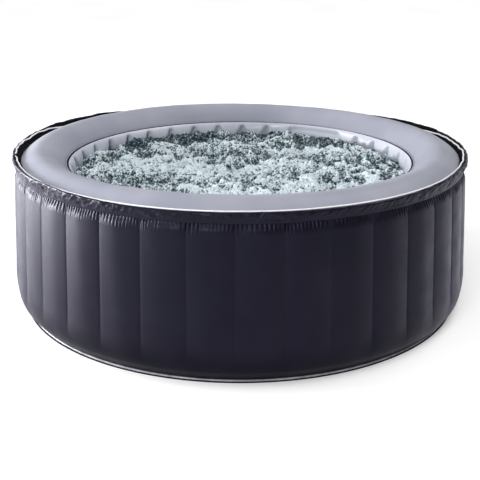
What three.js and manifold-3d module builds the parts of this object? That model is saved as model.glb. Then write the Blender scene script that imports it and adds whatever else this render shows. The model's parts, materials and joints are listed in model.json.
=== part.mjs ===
// Round inflatable hot tub: a ring-shaped air chamber held in shape by radial webs, with a crowned
// rim, and a pump, heater and blower unit built into one bay of the wall. Millimetres, +Z up. The
// origin is on the ground under the middle of the tub.
import * as THREE from "three";
import { mergeVertices } from "three/addons/utils/BufferGeometryUtils.js";
import Module from "manifold-3d";

// ---------------------------------------------------------------- Driving dimensions

// Wall ring. Radii are at the web seams; the panels bulge away from them.
const WALL_RADIUS = 1000;
const CHAMBER_WIDTH = 210;
const PANEL_WIDTH = 174.5; // between two web seams of the outer wall
const OUTER_BULGE = 9;
const BELLY_RISE = 40; // how far the outer wall's seams stand out where it is fullest, near the ground
const INNER_BULGE = 16;
const SKIN = 1.5;
const TOUCH = 0.3; // gap between pieces that touch

// Rim: a crowned sheet from the inner welt to the outer piping, with a padded lip outside it.
const WELT_Z = 632;
const RIM_EDGE_RISE = 32; // outer edge above the welt
const RIM_EDGE_INSET = 16; // outer edge inside the wall radius
const CROWN_RISE = 51; // above the straight line between the two edges
const CROWN_STEPS = 5;
const LIP_REACH = 20; // beyond the wall radius
const LIP_HEIGHT = 23; // above the rim's outer edge
const HEM_DROP = 38; // below the rim's outer edge
const CORD_RADIUS = 2.5; // welt and piping cords

// Foot of the wall.
const FOOT_HEIGHT = 75;
const FOOT_INSET = 9;
const BASE_CORD_Z = 4.5;

// Tension webs between the two walls.
const WEB_THICKNESS = 1;
const WEB_BASE = 90;
const WEB_SETS = 5;
const MISSING_WEB = 6; // the built-in unit takes this web's place

// Heights where the panels of the inner and the outer wall start and reach their full bulge.
const PANEL_FADE = 80;
const TOP_FADE = 40;

// Bubble channel round the foot of the inner wall.
const CHANNEL_Z = 115;
const CHANNEL_HALF_HEIGHT = 20;
const CHANNEL_DEPTH = 26;
const JET_RADIUS = 2;

// Built-in unit: a moulded housing between the walls, closed by a cover in the outer wall.
const UNIT_BASE = 85;
const UNIT_HEIGHT = 400;
const WEB_CLEARANCE = 7; // from the housing's side to the next web
const HOUSING_WALL = 3;
const BEZEL_WIDTH = 20;
const BEZEL_THICKNESS = 5.5;
const NECK_WALL = 3;
const LEDGE_WIDTH = 7;
const COVER_THICKNESS = 3;
const FASCIA_HEIGHT = 75;
const BOSS_SIZE = 12;
const VENT_SLOTS = 7;
const BUTTON_RADIUS = 7.5;
const BUTTON_PITCH = 22;
const BUTTON_TRAVEL = 1;
const KEY_MARGIN = 21.5; // from the fascia's end to the middle of the first key
const DISPLAY_MARGIN = 19.5;
const DISPLAY_LENGTH = 70;
const SCREW_RADIUS = 1.8;

// Water circuit, measured from the housing's back plate, bottom and middle.
const PUMP_Y = -50;
const PUMP_Z = 115;
const PUMP_RADIUS = 52;
const PUMP_WIDTH = 38;
const MOTOR_RADIUS = 42;
const MOTOR_LENGTH = 82;
const PIPE_BORE = 10;
const PIPE_WALL = 3;
const HEATER_RISE = 105; // above the pump's axis
const HEATER_RADIUS = 24;
const RETURN_Y = 60;
const FILTER_RADIUS = 50;
const FILTER_LENGTH = 92;
const BALL_RADIUS = 14;
const BALL_PLAY = 0.8; // room for the ball's facets to turn in the socket's facets

// Air circuit.
const BLOWER_Z = 85;
const BLOWER_RADIUS = 46;
const BLOWER_WIDTH = 40;
const CHECK_RADIUS = 22;
const CHECK_LENGTH = 58;
const DROP_BORE = 7;
const ROOF_GAP = 10; // between the drop pipe and the housing's roof

// Air valve and drain, in the two bays beside the unit. The wall has no belly from there to the
// unit's other side, so that their seats are flat.
const VALVE_Z = 480;
const VALVE_RADIUS = 16;
const DRAIN_Z = 45;
const DRAIN_RADIUS = 14;
const FLANGE_RADIUS = 24;

// ---------------------------------------------------------------- Worked out from them

const PANELS = Math.round((2 * Math.PI * WALL_RADIUS) / PANEL_WIDTH);
const STATIONS = 2 * PANELS; // one facet corner at each seam and at each panel's middle
const PITCH = (2 * Math.PI) / PANELS;
const UNIT_AZIMUTH = MISSING_WEB * PITCH;
const DRAIN_AZIMUTH = (MISSING_WEB - 2.5) * PITCH;
const VALVE_AZIMUTH = (MISSING_WEB - 1.5) * PITCH;
const INNER_RADIUS = WALL_RADIUS - CHAMBER_WIDTH;
const RIM_EDGE_RADIUS = WALL_RADIUS - RIM_EDGE_INSET;
const RIM_EDGE_Z = WELT_Z + RIM_EDGE_RISE;
const WEB_TOP = WELT_Z - 32;
const UNIT_TOP = UNIT_BASE + UNIT_HEIGHT;

// The inner wall is flat behind the unit: a chord from one neighbouring web to the other.
const FLAT_X = INNER_RADIUS * Math.cos(PITCH);
const BACK_X = FLAT_X + SKIN + TOUCH;
const HALF_WIDTH = INNER_RADIUS * Math.sin(PITCH) - WEB_CLEARANCE;
const WALL_INSIDE = (WALL_RADIUS - SKIN) * Math.cos(PITCH / 4);
const MOUTH_X = Math.sqrt(WALL_INSIDE ** 2 - HALF_WIDTH ** 2) - 1 - BACK_X;
const WATER_X = -(SKIN + 2 * TOUCH); // seat of a flange on the water side of the inner wall

const COVER_X = MOUTH_X - 1;
const NECK_HALF = HALF_WIDTH - HOUSING_WALL - TOUCH;
const NECK_BASE = HOUSING_WALL + TOUCH;
const NECK_TOP = UNIT_HEIGHT - NECK_BASE;
const COVER_HALF = NECK_HALF - NECK_WALL - TOUCH;
const COVER_BASE = NECK_BASE + NECK_WALL + TOUCH;
const FASCIA_TOP = NECK_TOP - NECK_WALL - TOUCH;
const FASCIA_BASE = FASCIA_TOP - FASCIA_HEIGHT;
const KEYS_Z = (FASCIA_BASE + FASCIA_TOP) / 2;
const DROP_Y = HALF_WIDTH - HOUSING_WALL - DROP_BORE - PIPE_WALL - 4;
const HEATER_Z = PUMP_Z + HEATER_RISE;
const FITTING_BARREL = PIPE_BORE + 2 * PIPE_WALL;
const PIPE_RADIUS = PIPE_BORE + PIPE_WALL;

// ---------------------------------------------------------------- Solids

const wasm = await Module();
wasm.setup();

// A closed geometry as a manifold-3d solid.
function toSolid(geometry) {
  const bare = geometry.index ? geometry.toNonIndexed() : geometry.clone();
  bare.deleteAttribute("normal");
  bare.deleteAttribute("uv");
  const merged = mergeVertices(bare, 1e-3);
  return new wasm.Manifold(
    new wasm.Mesh({
      numProp: 3,
      vertProperties: merged.attributes.position.array,
      triVerts: new Uint32Array(merged.index.array),
    }),
  );
}

function toGeometry(solid) {
  const { vertProperties, triVerts } = solid.getMesh();
  const geometry = new THREE.BufferGeometry();
  geometry.setAttribute("position", new THREE.BufferAttribute(Float32Array.from(vertProperties), 3));
  geometry.setIndex(new THREE.BufferAttribute(Uint32Array.from(triVerts), 1));
  geometry.computeVertexNormals();
  return geometry;
}

function join(...geometries) {
  return toGeometry(geometries.map(toSolid).reduce((whole, piece) => whole.add(piece)));
}

function cut(body, ...tools) {
  return toGeometry(tools.map(toSolid).reduce((rest, tool) => rest.subtract(tool), toSolid(body)));
}

function common(one, other) {
  return toGeometry(toSolid(one).intersect(toSolid(other)));
}

function block([x0, y0, z0], [x1, y1, z1]) {
  const box = new THREE.BoxGeometry(x1 - x0, y1 - y0, z1 - z0);
  return box.translate((x0 + x1) / 2, (y0 + y1) / 2, (z0 + z1) / 2);
}

// A round bar along X, from x0 to x1, about the line (y, z).
function rodX(radius, x0, x1, y = 0, z = 0, sides = 16) {
  const rod = new THREE.CylinderGeometry(radius, radius, x1 - x0, sides);
  return rod.rotateZ(-Math.PI / 2).translate((x0 + x1) / 2, y, z);
}

function rodY(radius, y0, y1, x = 0, z = 0, sides = 16) {
  return new THREE.CylinderGeometry(radius, radius, y1 - y0, sides).translate(x, (y0 + y1) / 2, z);
}

function rodZ(radius, z0, z1, x = 0, y = 0, sides = 16) {
  const rod = new THREE.CylinderGeometry(radius, radius, z1 - z0, sides);
  return rod.rotateX(Math.PI / 2).translate(x, y, (z0 + z1) / 2);
}

function ball(radius, x = 0) {
  return new THREE.SphereGeometry(radius, 14, 8).rotateX(Math.PI / 2).translate(x, 0, 0);
}

// A pipe with a round bore, bent along a curve.
function pipe(path, bore, wall, steps) {
  const section = new THREE.Shape().absarc(0, 0, bore + wall, 0, 2 * Math.PI);
  section.holes.push(new THREE.Path().absarc(0, 0, bore, 0, 2 * Math.PI, true));
  return new THREE.ExtrudeGeometry(section, { steps, curveSegments: 4, extrudePath: path });
}

function signedArea(outline) {
  return outline.reduce((sum, [x, y], i) => {
    const [nextX, nextY] = outline[(i + 1) % outline.length];
    return sum + (x * nextY - nextX * y) / 2;
  }, 0);
}

// A closed (radius, z) outline turned about the tub's axis, with each corner moved out by
// shift(angle, z).
function ring(outline, shift = null) {
  const loop = signedArea(outline) > 0 ? [...outline] : [...outline].reverse();
  loop.push(loop[0]);
  const turned = new THREE.LatheGeometry(
    loop.map(([r, z]) => new THREE.Vector2(r, z)),
    STATIONS,
  ).rotateX(Math.PI / 2).rotateZ(Math.PI / 2); // the first corner on +X, where the first seam is
  if (shift) moveOut(turned, shift);
  matchDiagonals(turned);
  return turned;
}

// The two skins of a thin ring run up and down the same grid, so LatheGeometry splits their squares
// along opposite diagonals, and over a bulge the skins would cross. Squares that run down are split
// the other way, which leaves the skins parallel.
function matchDiagonals(geometry) {
  const { index, attributes: { position } } = geometry;
  for (let i = 0; i < index.count; i += 6) {
    const [a, b, d, c] = [0, 1, 2, 3].map((k) => index.getX(i + k));
    if (position.getZ(d) >= position.getZ(a)) continue;
    [a, b, c, a, c, d].forEach((corner, k) => index.setX(i + k, corner));
  }
}

function moveOut(geometry, shift) {
  const place = geometry.attributes.position;
  for (let i = 0; i < place.count; i++) {
    const x = place.getX(i);
    const y = place.getY(i);
    const radius = Math.hypot(x, y);
    const scale = (radius + shift(Math.atan2(y, x), place.getZ(i))) / radius;
    place.setXY(i, x * scale, y * scale);
  }
}

// A sheet of the given thickness whose face follows (radius, z) points, thickened by (dr, dz).
function sheet(face, dr, dz) {
  return [...face, ...face.map(([r, z]) => [r + dr, z + dz]).reverse()];
}

// A cord of square section, one corner up.
function cordOutline(radius, z) {
  return Array.from({ length: 4 }, (_, i) => {
    const turn = (i * Math.PI) / 2;
    return [radius + CORD_RADIUS * Math.cos(turn), z + CORD_RADIUS * Math.sin(turn)];
  });
}

// ---------------------------------------------------------------- Shape of the walls

// 0 below a, 1 from b to c, 0 above d, straight between them.
function window(z, a, b, c, d) {
  return THREE.MathUtils.clamp(Math.min((z - a) / (b - a), (d - z) / (d - c)), 0, 1);
}

// 0 at a web seam, 1 in the middle of a panel.
function pillow(angle) {
  return Math.abs(Math.sin((angle * PANELS) / 2));
}

function fromUnit(angle) {
  return THREE.MathUtils.euclideanModulo(angle - UNIT_AZIMUTH + Math.PI, 2 * Math.PI) - Math.PI;
}

function besideUnit(angle) {
  return Math.abs(fromUnit(angle)) < PITCH;
}

const BEZEL_CLEAR = UNIT_TOP + 15; // above the unit's bezel, so the wall is plain behind it
const SEAM_TOP = Math.max(WEB_TOP - 10, BEZEL_CLEAR);
const OUTER_PANEL = [FOOT_HEIGHT, FOOT_HEIGHT + PANEL_FADE, SEAM_TOP, WEB_TOP + 20];
const INNER_PANEL = [UNIT_BASE - 10, CHANNEL_Z - CHANNEL_HALF_HEIGHT - 2, WEB_TOP - TOP_FADE, WEB_TOP];
const FLAT_BAY = [SKIN + TOUCH, UNIT_BASE - 10, BEZEL_CLEAR, Math.max(WEB_TOP - TOP_FADE, BEZEL_CLEAR + 5)];

// Height and share of BELLY_RISE, straight between them.
const BELLY = [
  [BASE_CORD_Z + CORD_RADIUS + TOUCH, 0],
  [0.4 * FOOT_HEIGHT, 0.775],
  [OUTER_PANEL[0], 1],
  [OUTER_PANEL[1], 0.875],
  [(OUTER_PANEL[1] + OUTER_PANEL[2]) / 2, 0.55],
  [OUTER_PANEL[2], 0.175],
  [OUTER_PANEL[3], 0],
];

// 0 from the drain's bay to the unit's far web, growing to 1 over the next bay on each side.
function bellyShare(angle) {
  const bays = fromUnit(angle) / PITCH;
  return THREE.MathUtils.clamp(Math.max(-3 - bays, bays - 1), 0, 1);
}

function belly(angle, z) {
  const above = BELLY.findIndex(([height]) => height >= z);
  if (above < 1) return 0;
  const [[z0, low], [z1, high]] = BELLY.slice(above - 1, above + 1);
  return BELLY_RISE * bellyShare(angle) * (low + ((high - low) * (z - z0)) / (z1 - z0));
}

function outerShift(angle, z) {
  const bulge = besideUnit(angle) ? 0 : OUTER_BULGE * pillow(angle) * window(z, ...OUTER_PANEL);
  return bulge + belly(angle, z);
}

function innerShift(angle, z) {
  if (!besideUnit(angle)) return -INNER_BULGE * pillow(angle) * window(z, ...INNER_PANEL);
  return (FLAT_X / Math.cos(fromUnit(angle)) - INNER_RADIUS) * window(z, ...FLAT_BAY);
}

function ascending(...heights) {
  return [...new Set(heights)].sort((one, other) => one - other);
}

// ---------------------------------------------------------------- Soft parts

const SILVER = new THREE.MeshStandardMaterial({ color: 0xb0b2bd, roughness: 0.42 });
const DARK_SKIN = new THREE.MeshStandardMaterial({ color: 0x2b2a33, roughness: 0.6 });
const WHITE_CORD = new THREE.MeshStandardMaterial({ color: 0xe6e6ea, roughness: 0.4 });
const GREY_CORD = new THREE.MeshStandardMaterial({ color: 0x9a9aa3, roughness: 0.5 });
const WEB_CLOTH = new THREE.MeshStandardMaterial({ color: 0x8c8c90, roughness: 0.7 });
const BLACK_PLASTIC = new THREE.MeshStandardMaterial({ color: 0x202126, roughness: 0.5 });
const GREY_PLASTIC = new THREE.MeshStandardMaterial({ color: 0x7c7f88, roughness: 0.45 });
const PALE_PLASTIC = new THREE.MeshStandardMaterial({ color: 0xd9dadd, roughness: 0.4 });
const STEEL = new THREE.MeshStandardMaterial({ color: 0xb8babd, roughness: 0.3, metalness: 1 });
const GREEN_BOARD = new THREE.MeshStandardMaterial({ color: 0x1d5a3a, roughness: 0.5 });
const FILTER_PAPER = new THREE.MeshStandardMaterial({ color: 0xeeeeea, roughness: 0.9 });
const LENS = new THREE.MeshStandardMaterial({ color: 0x1a1c22, roughness: 0.1 });
const SEAL_RUBBER = new THREE.MeshStandardMaterial({ color: 0x1b1b1d, roughness: 0.8 });

const tub = new THREE.Group();

function add(parent, name, geometry, material) {
  const mesh = new THREE.Mesh(geometry, material);
  mesh.name = name;
  parent.add(mesh);
  return mesh;
}

const unit = new THREE.Group();
unit.rotation.z = UNIT_AZIMUTH;
unit.position.set(BACK_X * Math.cos(UNIT_AZIMUTH), BACK_X * Math.sin(UNIT_AZIMUTH), UNIT_BASE);
const drain = new THREE.Group();
drain.rotation.z = DRAIN_AZIMUTH;
drain.position.z = DRAIN_Z;
const airValve = new THREE.Group();
airValve.rotation.z = VALVE_AZIMUTH;
airValve.position.z = VALVE_Z;
tub.add(unit, drain, airValve);
tub.updateMatrixWorld(true);

// A cutting tool drawn in a group's own frame, moved to the tub's frame.
function inTub(group, geometry) {
  return geometry.applyMatrix4(group.matrixWorld);
}

function topRim() {
  const inner = INNER_RADIUS + CORD_RADIUS;
  const face = Array.from({ length: CROWN_STEPS + 1 }, (_, i) => {
    const t = i / CROWN_STEPS;
    const crown = 4 * CROWN_RISE * t * (1 - t);
    return [inner + (RIM_EDGE_RADIUS - inner) * t, WELT_Z + RIM_EDGE_RISE * t + crown];
  });
  return ring(sheet(face, 0, -SKIN));
}

function innerWall() {
  const top = WELT_Z - CORD_RADIUS - 2 * TOUCH;
  const heights = ascending(SKIN + TOUCH, ...FLAT_BAY, ...INNER_PANEL, top);
  const wall = ring(sheet(heights.map((z) => [INNER_RADIUS, z]), SKIN, 0), innerShift);
  return cut(
    wall,
    inTub(unit, rodX(FITTING_BARREL + TOUCH, -20, 20, PUMP_Y, PUMP_Z)),
    inTub(unit, rodX(FITTING_BARREL + TOUCH, -20, 20, RETURN_Y, HEATER_Z)),
    inTub(unit, rodX(DROP_BORE + PIPE_WALL + TOUCH, -20, 20, DROP_Y, CHANNEL_Z - UNIT_BASE)),
    inTub(drain, rodX(DRAIN_RADIUS + TOUCH, INNER_RADIUS - 20, INNER_RADIUS + 20)),
  );
}

function outerWall() {
  const heights = ascending(...BELLY.map(([z]) => z), WEB_TOP + 34);
  const face = heights.map((z) => {
    const lift = THREE.MathUtils.clamp(z / FOOT_HEIGHT, 0, 1);
    const tuck = z > WEB_TOP + 15 ? SKIN - TOUCH : 0;
    return [WALL_RADIUS - FOOT_INSET * (1 - lift) ** 2 + tuck, z];
  });
  const reach = [WALL_RADIUS - 60, WALL_RADIUS + 60];
  return cut(
    ring(sheet(face, -SKIN, 0), outerShift),
    inTub(
      unit,
      block(
        [MOUTH_X - 40, -NECK_HALF - TOUCH, NECK_BASE - TOUCH],
        [MOUTH_X + 60, NECK_HALF + TOUCH, NECK_TOP + TOUCH],
      ),
    ),
    inTub(drain, rodX(DRAIN_RADIUS + TOUCH, ...reach)),
    inTub(airValve, rodX(VALVE_RADIUS + TOUCH, ...reach)),
  );
}

// The loose band above the gathers, turned over a soft roll that stands outside the rim.
function hemBand() {
  const inner = RIM_EDGE_RADIUS + 2 * CORD_RADIUS + 2 * TOUCH;
  const outer = WALL_RADIUS + LIP_REACH;
  const base = RIM_EDGE_Z - HEM_DROP;
  const top = RIM_EDGE_Z + LIP_HEIGHT;
  return ring([
    [WALL_RADIUS + SKIN, base],
    [WALL_RADIUS + 2 * SKIN + 1, base],
    [outer, top - 8],
    [outer - 4, top],
    [outer - 16, RIM_EDGE_Z + 7],
    [inner, RIM_EDGE_Z - 2],
    [inner, RIM_EDGE_Z - 4],
    [outer - 9, RIM_EDGE_Z - 8],
  ]);
}

function baseRing() {
  const inner = INNER_RADIUS + 5;
  const edge = WALL_RADIUS - FOOT_INSET;
  return ring([[inner, 0], [edge, 0], [edge, SKIN], [inner, SKIN]]);
}

function floorSheet() {
  const radius = INNER_RADIUS + 5 - TOUCH;
  return rodZ(radius, 0, SKIN, 0, 0, STATIONS).rotateZ(Math.PI / 2);
}

// A ridged strip welded to the inner wall, open at its back, with one jet hole in each bay.
function bubbleChannel() {
  const back = INNER_RADIUS - TOUCH;
  const deep = CHANNEL_DEPTH;
  const high = CHANNEL_HALF_HEIGHT;
  const arch = (depth, half) => [
    [back, CHANNEL_Z - half],
    [back - depth, CHANNEL_Z],
    [back, CHANNEL_Z + half],
  ];
  const outline = [...arch(deep, high), ...arch(deep - SKIN, high - SKIN).reverse()];
  const jets = [];
  for (let web = 0; web < PANELS; web++) {
    const jet = rodX(JET_RADIUS, INNER_RADIUS - 60, back - deep / 4, 0, CHANNEL_Z + high / 2, 4);
    jets.push(jet.rotateZ((web + 0.25) * PITCH));
  }
  return cut(ring(outline, innerShift), ...jets);
}

// Some of the radial webs, tied by one weld tape along their inner edges.
function webSet(first, last) {
  const inner = INNER_RADIUS + SKIN + TOUCH;
  const heights = BELLY.map(([z]) => z).filter((z) => z > WEB_BASE && z < WEB_TOP);
  const webs = [];
  for (let web = first; web <= last; web++) {
    const edge = [WEB_BASE, ...heights, WEB_TOP].map((z) => {
      return new THREE.Vector2(WALL_RADIUS - SKIN - TOUCH + belly(web * PITCH, z), z);
    });
    const outline = [new THREE.Vector2(inner, WEB_TOP), new THREE.Vector2(inner, WEB_BASE), ...edge];
    const cloth = new THREE.ExtrudeGeometry(new THREE.Shape(outline), { depth: WEB_THICKNESS, bevelEnabled: false });
    webs.push(cloth.rotateX(Math.PI / 2).translate(0, WEB_THICKNESS / 2, 0).rotateZ(web * PITCH));
  }
  const tapeEdge = (radius) => webs.map((_, i) => {
    const angle = (first + i) * PITCH;
    return new THREE.Vector2(radius * Math.cos(angle), radius * Math.sin(angle));
  });
  const outline = [...tapeEdge(inner + 1 + SKIN), ...tapeEdge(inner + 1).reverse()];
  const tape = new THREE.ExtrudeGeometry(new THREE.Shape(outline), { depth: 15, bevelEnabled: false });
  return join(tape.translate(0, 0, WEB_TOP - TOP_FADE - 20), ...webs);
}

add(tub, "top_rim", topRim(), SILVER);
add(tub, "inner_wall", innerWall(), SILVER);
add(tub, "outer_wall", outerWall(), DARK_SKIN);
add(tub, "hem_band", hemBand(), DARK_SKIN);
add(tub, "rim_piping", ring(cordOutline(RIM_EDGE_RADIUS + CORD_RADIUS + TOUCH, RIM_EDGE_Z)), WHITE_CORD);
add(tub, "inner_welt", ring(cordOutline(INNER_RADIUS - TOUCH, WELT_Z - SKIN / 2)), SILVER);
add(tub, "base_ring", baseRing(), DARK_SKIN);
add(tub, "base_piping", ring(cordOutline(WALL_RADIUS - FOOT_INSET + TOUCH, BASE_CORD_Z)), GREY_CORD);
add(tub, "floor_sheet", floorSheet(), SILVER);
add(tub, "bubble_channel", bubbleChannel(), SILVER);
for (let set = 0; set < WEB_SETS; set++) {
  const first = MISSING_WEB + 1 + Math.round((set * (PANELS - 1)) / WEB_SETS);
  const next = MISSING_WEB + 1 + Math.round(((set + 1) * (PANELS - 1)) / WEB_SETS);
  add(tub, `web_set_${set + 1}`, webSet(first, next - 1), WEB_CLOTH);
}

// ---------------------------------------------------------------- Air valve and drain

const VALVE_SEAT = WALL_RADIUS + OUTER_BULGE + TOUCH;
const VALVE_DEPTH = 31;

// Flanged barrel with a spider that guides the stem.
function airValveBody() {
  const bore = VALVE_RADIUS - 4;
  const inside = VALVE_SEAT - VALVE_DEPTH;
  const barrel = cut(
    join(rodX(FLANGE_RADIUS, VALVE_SEAT, VALVE_SEAT + 2), rodX(VALVE_RADIUS, inside, VALVE_SEAT + 1)),
    rodX(bore, inside - 1, VALVE_SEAT + 3),
  );
  const vents = [0, 1, 2, 3].map((i) => rodX(3, inside, VALVE_SEAT, 7.5, 0, 10).rotateX((i * Math.PI) / 2));
  const guide = rodX(3.3, inside, VALVE_SEAT, 0, 0, 12);
  const spider = cut(rodX(bore + 1, inside + 14, inside + 17), guide, ...vents);
  return join(barrel, spider);
}

function airValveStem() {
  const inside = VALVE_SEAT - VALVE_DEPTH;
  return join(
    rodX(VALVE_RADIUS - 2, inside - 3.3, inside - TOUCH),
    rodX(3, inside - 2, inside + 26, 0, 0, 12),
    rodX(5, inside + 23, inside + 26, 0, 0, 12),
  );
}

function airValveCap() {
  const seat = VALVE_SEAT + 2 + TOUCH;
  const grip = block([seat + 2, -14, -2], [seat + 6, 14, 2]);
  return join(rodX(FLANGE_RADIUS - 4, seat, seat + 3), rodX(VALVE_RADIUS - 4.5, seat - 4, seat + 1), grip);
}

add(airValve, "air_valve_body", airValveBody(), BLACK_PLASTIC);
add(airValve, "air_valve_stem", airValveStem(), PALE_PLASTIC);
add(airValve, "air_valve_cap", airValveCap(), BLACK_PLASTIC);

// The flange lies against the facets of the inner wall, the nut against the outer wall.
const DRAIN_SEAT = INNER_RADIUS - FLANGE_RADIUS * Math.tan(PITCH / 4) - TOUCH;
const DRAIN_NUT = WALL_RADIUS + TOUCH;
const DRAIN_END = DRAIN_NUT + 14;
const DRAIN_BORE = DRAIN_RADIUS - 3;

function drainBody() {
  return cut(
    join(rodX(FLANGE_RADIUS, DRAIN_SEAT - 3.5, DRAIN_SEAT), rodX(DRAIN_RADIUS, DRAIN_SEAT - 1, DRAIN_END)),
    rodX(DRAIN_BORE, DRAIN_SEAT - 10, DRAIN_END + 10),
  );
}

function drainNut() {
  return cut(
    rodX(FLANGE_RADIUS, DRAIN_NUT, DRAIN_NUT + 3, 0, 0, 6),
    rodX(DRAIN_RADIUS + TOUCH, DRAIN_NUT - 1, DRAIN_NUT + 4),
  );
}

// Stopper with a flat pull tab, pushed into the bore from the water side.
function drainPlug() {
  const head = DRAIN_SEAT - 3.5 - TOUCH;
  return join(
    rodX(DRAIN_BORE - 0.4, head - 1, head + 15),
    rodX(DRAIN_RADIUS + 2, head - 4, head),
    block([head - 12, -9, -1.5], [head - 3, 9, 1.5]),
  );
}

function drainCap() {
  const seat = DRAIN_NUT + 3 + TOUCH;
  const grip = block([DRAIN_END, -13, -2], [DRAIN_END + 5, 13, 2]);
  const cup = join(rodX(DRAIN_RADIUS + 5, seat, DRAIN_END + 3), grip);
  return cut(cup, rodX(DRAIN_RADIUS + 2 * TOUCH, seat - 1, DRAIN_END + TOUCH));
}

add(drain, "drain_body", drainBody(), GREY_PLASTIC);
add(drain, "drain_nut", drainNut(), GREY_PLASTIC);
add(drain, "drain_plug", drainPlug(), SEAL_RUBBER);
add(drain, "drain_cap", drainCap(), GREY_PLASTIC);

// ---------------------------------------------------------------- Housing, bezel and covers

function housing() {
  const shell = cut(
    block([0, -HALF_WIDTH, 0], [MOUTH_X, HALF_WIDTH, UNIT_HEIGHT]),
    block(
      [HOUSING_WALL, HOUSING_WALL - HALF_WIDTH, HOUSING_WALL],
      [MOUTH_X + 1, HALF_WIDTH - HOUSING_WALL, UNIT_HEIGHT - HOUSING_WALL],
    ),
  );
  return cut(
    shell,
    rodX(FITTING_BARREL + TOUCH, -5, 10, PUMP_Y, PUMP_Z),
    rodX(FITTING_BARREL + TOUCH, -5, 10, RETURN_Y, HEATER_Z),
    rodX(DROP_BORE + PIPE_WALL + TOUCH, -5, 10, DROP_Y, CHANNEL_Z - UNIT_BASE),
  );
}

// A round wall slice of the tub, as wide as the bezel, in the unit's frame.
function bezelSlice(inside, outside, z0, z1) {
  const half = Math.asin((HALF_WIDTH + BEZEL_WIDTH) / WALL_RADIUS);
  const slice = new THREE.Shape().absarc(0, 0, outside, -half, half);
  slice.absarc(0, 0, inside, half, -half, true);
  const plate = new THREE.ExtrudeGeometry(slice, { depth: z1 - z0, bevelEnabled: false, curveSegments: 8 });
  return plate.translate(-BACK_X, 0, z0);
}

// Frame on the outside of the wall, with a neck that slides into the housing and a ledge for the covers.
function bezel() {
  const face = bezelSlice(
    WALL_RADIUS + 0.5,
    WALL_RADIUS + 0.5 + BEZEL_THICKNESS,
    NECK_BASE - BEZEL_WIDTH + 3,
    NECK_TOP + BEZEL_WIDTH - 3,
  );
  const neck = common(
    block([MOUTH_X - 13, -NECK_HALF, NECK_BASE], [MOUTH_X + 40, NECK_HALF, NECK_TOP]),
    bezelSlice(WALL_RADIUS - 60, WALL_RADIUS + 3, 0, UNIT_HEIGHT),
  );
  const inner = NECK_HALF - NECK_WALL;
  const hole = block([-10, -inner, NECK_BASE + NECK_WALL], [MOUTH_X + 60, inner, NECK_TOP - NECK_WALL]);
  const ledgeX = [COVER_X - TOUCH - 3, COVER_X - TOUCH];
  const reach = inner - LEDGE_WIDTH;
  const low = NECK_BASE + NECK_WALL;
  const high = NECK_TOP - NECK_WALL;
  const ledge = cut(
    block([ledgeX[0], -inner - 1, low - 1], [ledgeX[1], inner + 1, high + 1]),
    block([0, -reach, low + LEDGE_WIDTH], [MOUTH_X, reach, FASCIA_BASE - LEDGE_WIDTH]),
    block([0, -reach, FASCIA_BASE + LEDGE_WIDTH], [MOUTH_X, reach, high - LEDGE_WIDTH]),
  );
  const bosses = screwPlaces().map(([y, z]) => {
    const [far, size] = [Math.sign(y) * inner, Math.sign(y) * BOSS_SIZE];
    const [y0, y1] = [far + Math.sign(y), far - size].sort((one, other) => one - other);
    return block([MOUTH_X - 13, y0, z - BOSS_SIZE / 2], [ledgeX[1], y1, z + BOSS_SIZE / 2]);
  });
  const holes = screwPlaces().map(([y, z]) => rodX(SCREW_RADIUS + TOUCH, COVER_X - 11, MOUTH_X, y, z, 10));
  return cut(join(cut(join(face, neck), hole), ledge, ...bosses), ...holes);
}

// Middles of the access cover's four screws.
function screwPlaces() {
  const y = NECK_HALF - NECK_WALL - BOSS_SIZE / 2;
  const [low, high] = [COVER_BASE + BOSS_SIZE / 2, FASCIA_BASE - BOSS_SIZE / 2 - TOUCH];
  return [[-y, low], [y, low], [-y, high], [y, high]];
}

const GLAND_RADIUS = 8;
const GLAND_Y = -70;
const GLAND_Z = 32;

function accessCover() {
  const plate = block(
    [COVER_X, -COVER_HALF, COVER_BASE],
    [COVER_X + COVER_THICKNESS, COVER_HALF, FASCIA_BASE - TOUCH],
  );
  const screws = screwPlaces().map(([y, z]) => rodX(SCREW_RADIUS + 0.4, COVER_X - 1, COVER_X + 5, y, z, 10));
  const vents = Array.from({ length: VENT_SLOTS }, (_, i) => {
    const z = BLOWER_Z - 30 + 10 * i;
    return block([COVER_X - 1, 25, z], [COVER_X + 5, 95, z + 4]);
  });
  const gland = rodX(GLAND_RADIUS + TOUCH, COVER_X - 1, COVER_X + 5, GLAND_Y, GLAND_Z);
  return cut(plate, ...screws, ...vents, gland);
}

function coverScrew() {
  const head = COVER_THICKNESS + TOUCH;
  return cut(
    join(rodX(4.5, head, head + 2.2, 0, 0, 10), rodX(SCREW_RADIUS, -9, head + 1, 0, 0, 8)),
    block([head + 1.2, -3.2, -0.6], [head + 3, 3.2, 0.6]),
  );
}

function powerGland() {
  const seat = COVER_X + COVER_THICKNESS + TOUCH;
  const body = join(
    rodX(13, seat, seat + 5, GLAND_Y, GLAND_Z, 6),
    rodX(GLAND_RADIUS, COVER_X - 8, seat + 1, GLAND_Y, GLAND_Z),
    rodX(10, seat + 4, seat + 14, GLAND_Y, GLAND_Z),
  );
  return cut(body, rodX(4, COVER_X - 20, seat + 20, GLAND_Y, GLAND_Z, 12));
}

const KEYS = ["power", "heat", "bubble", "filter", "warmer", "cooler"];
const KEY_START = KEY_MARGIN - COVER_HALF;
const DISPLAY_END = COVER_HALF - DISPLAY_MARGIN;
const DISPLAY = { y0: DISPLAY_END - DISPLAY_LENGTH, y1: DISPLAY_END, half: 13 };

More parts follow.
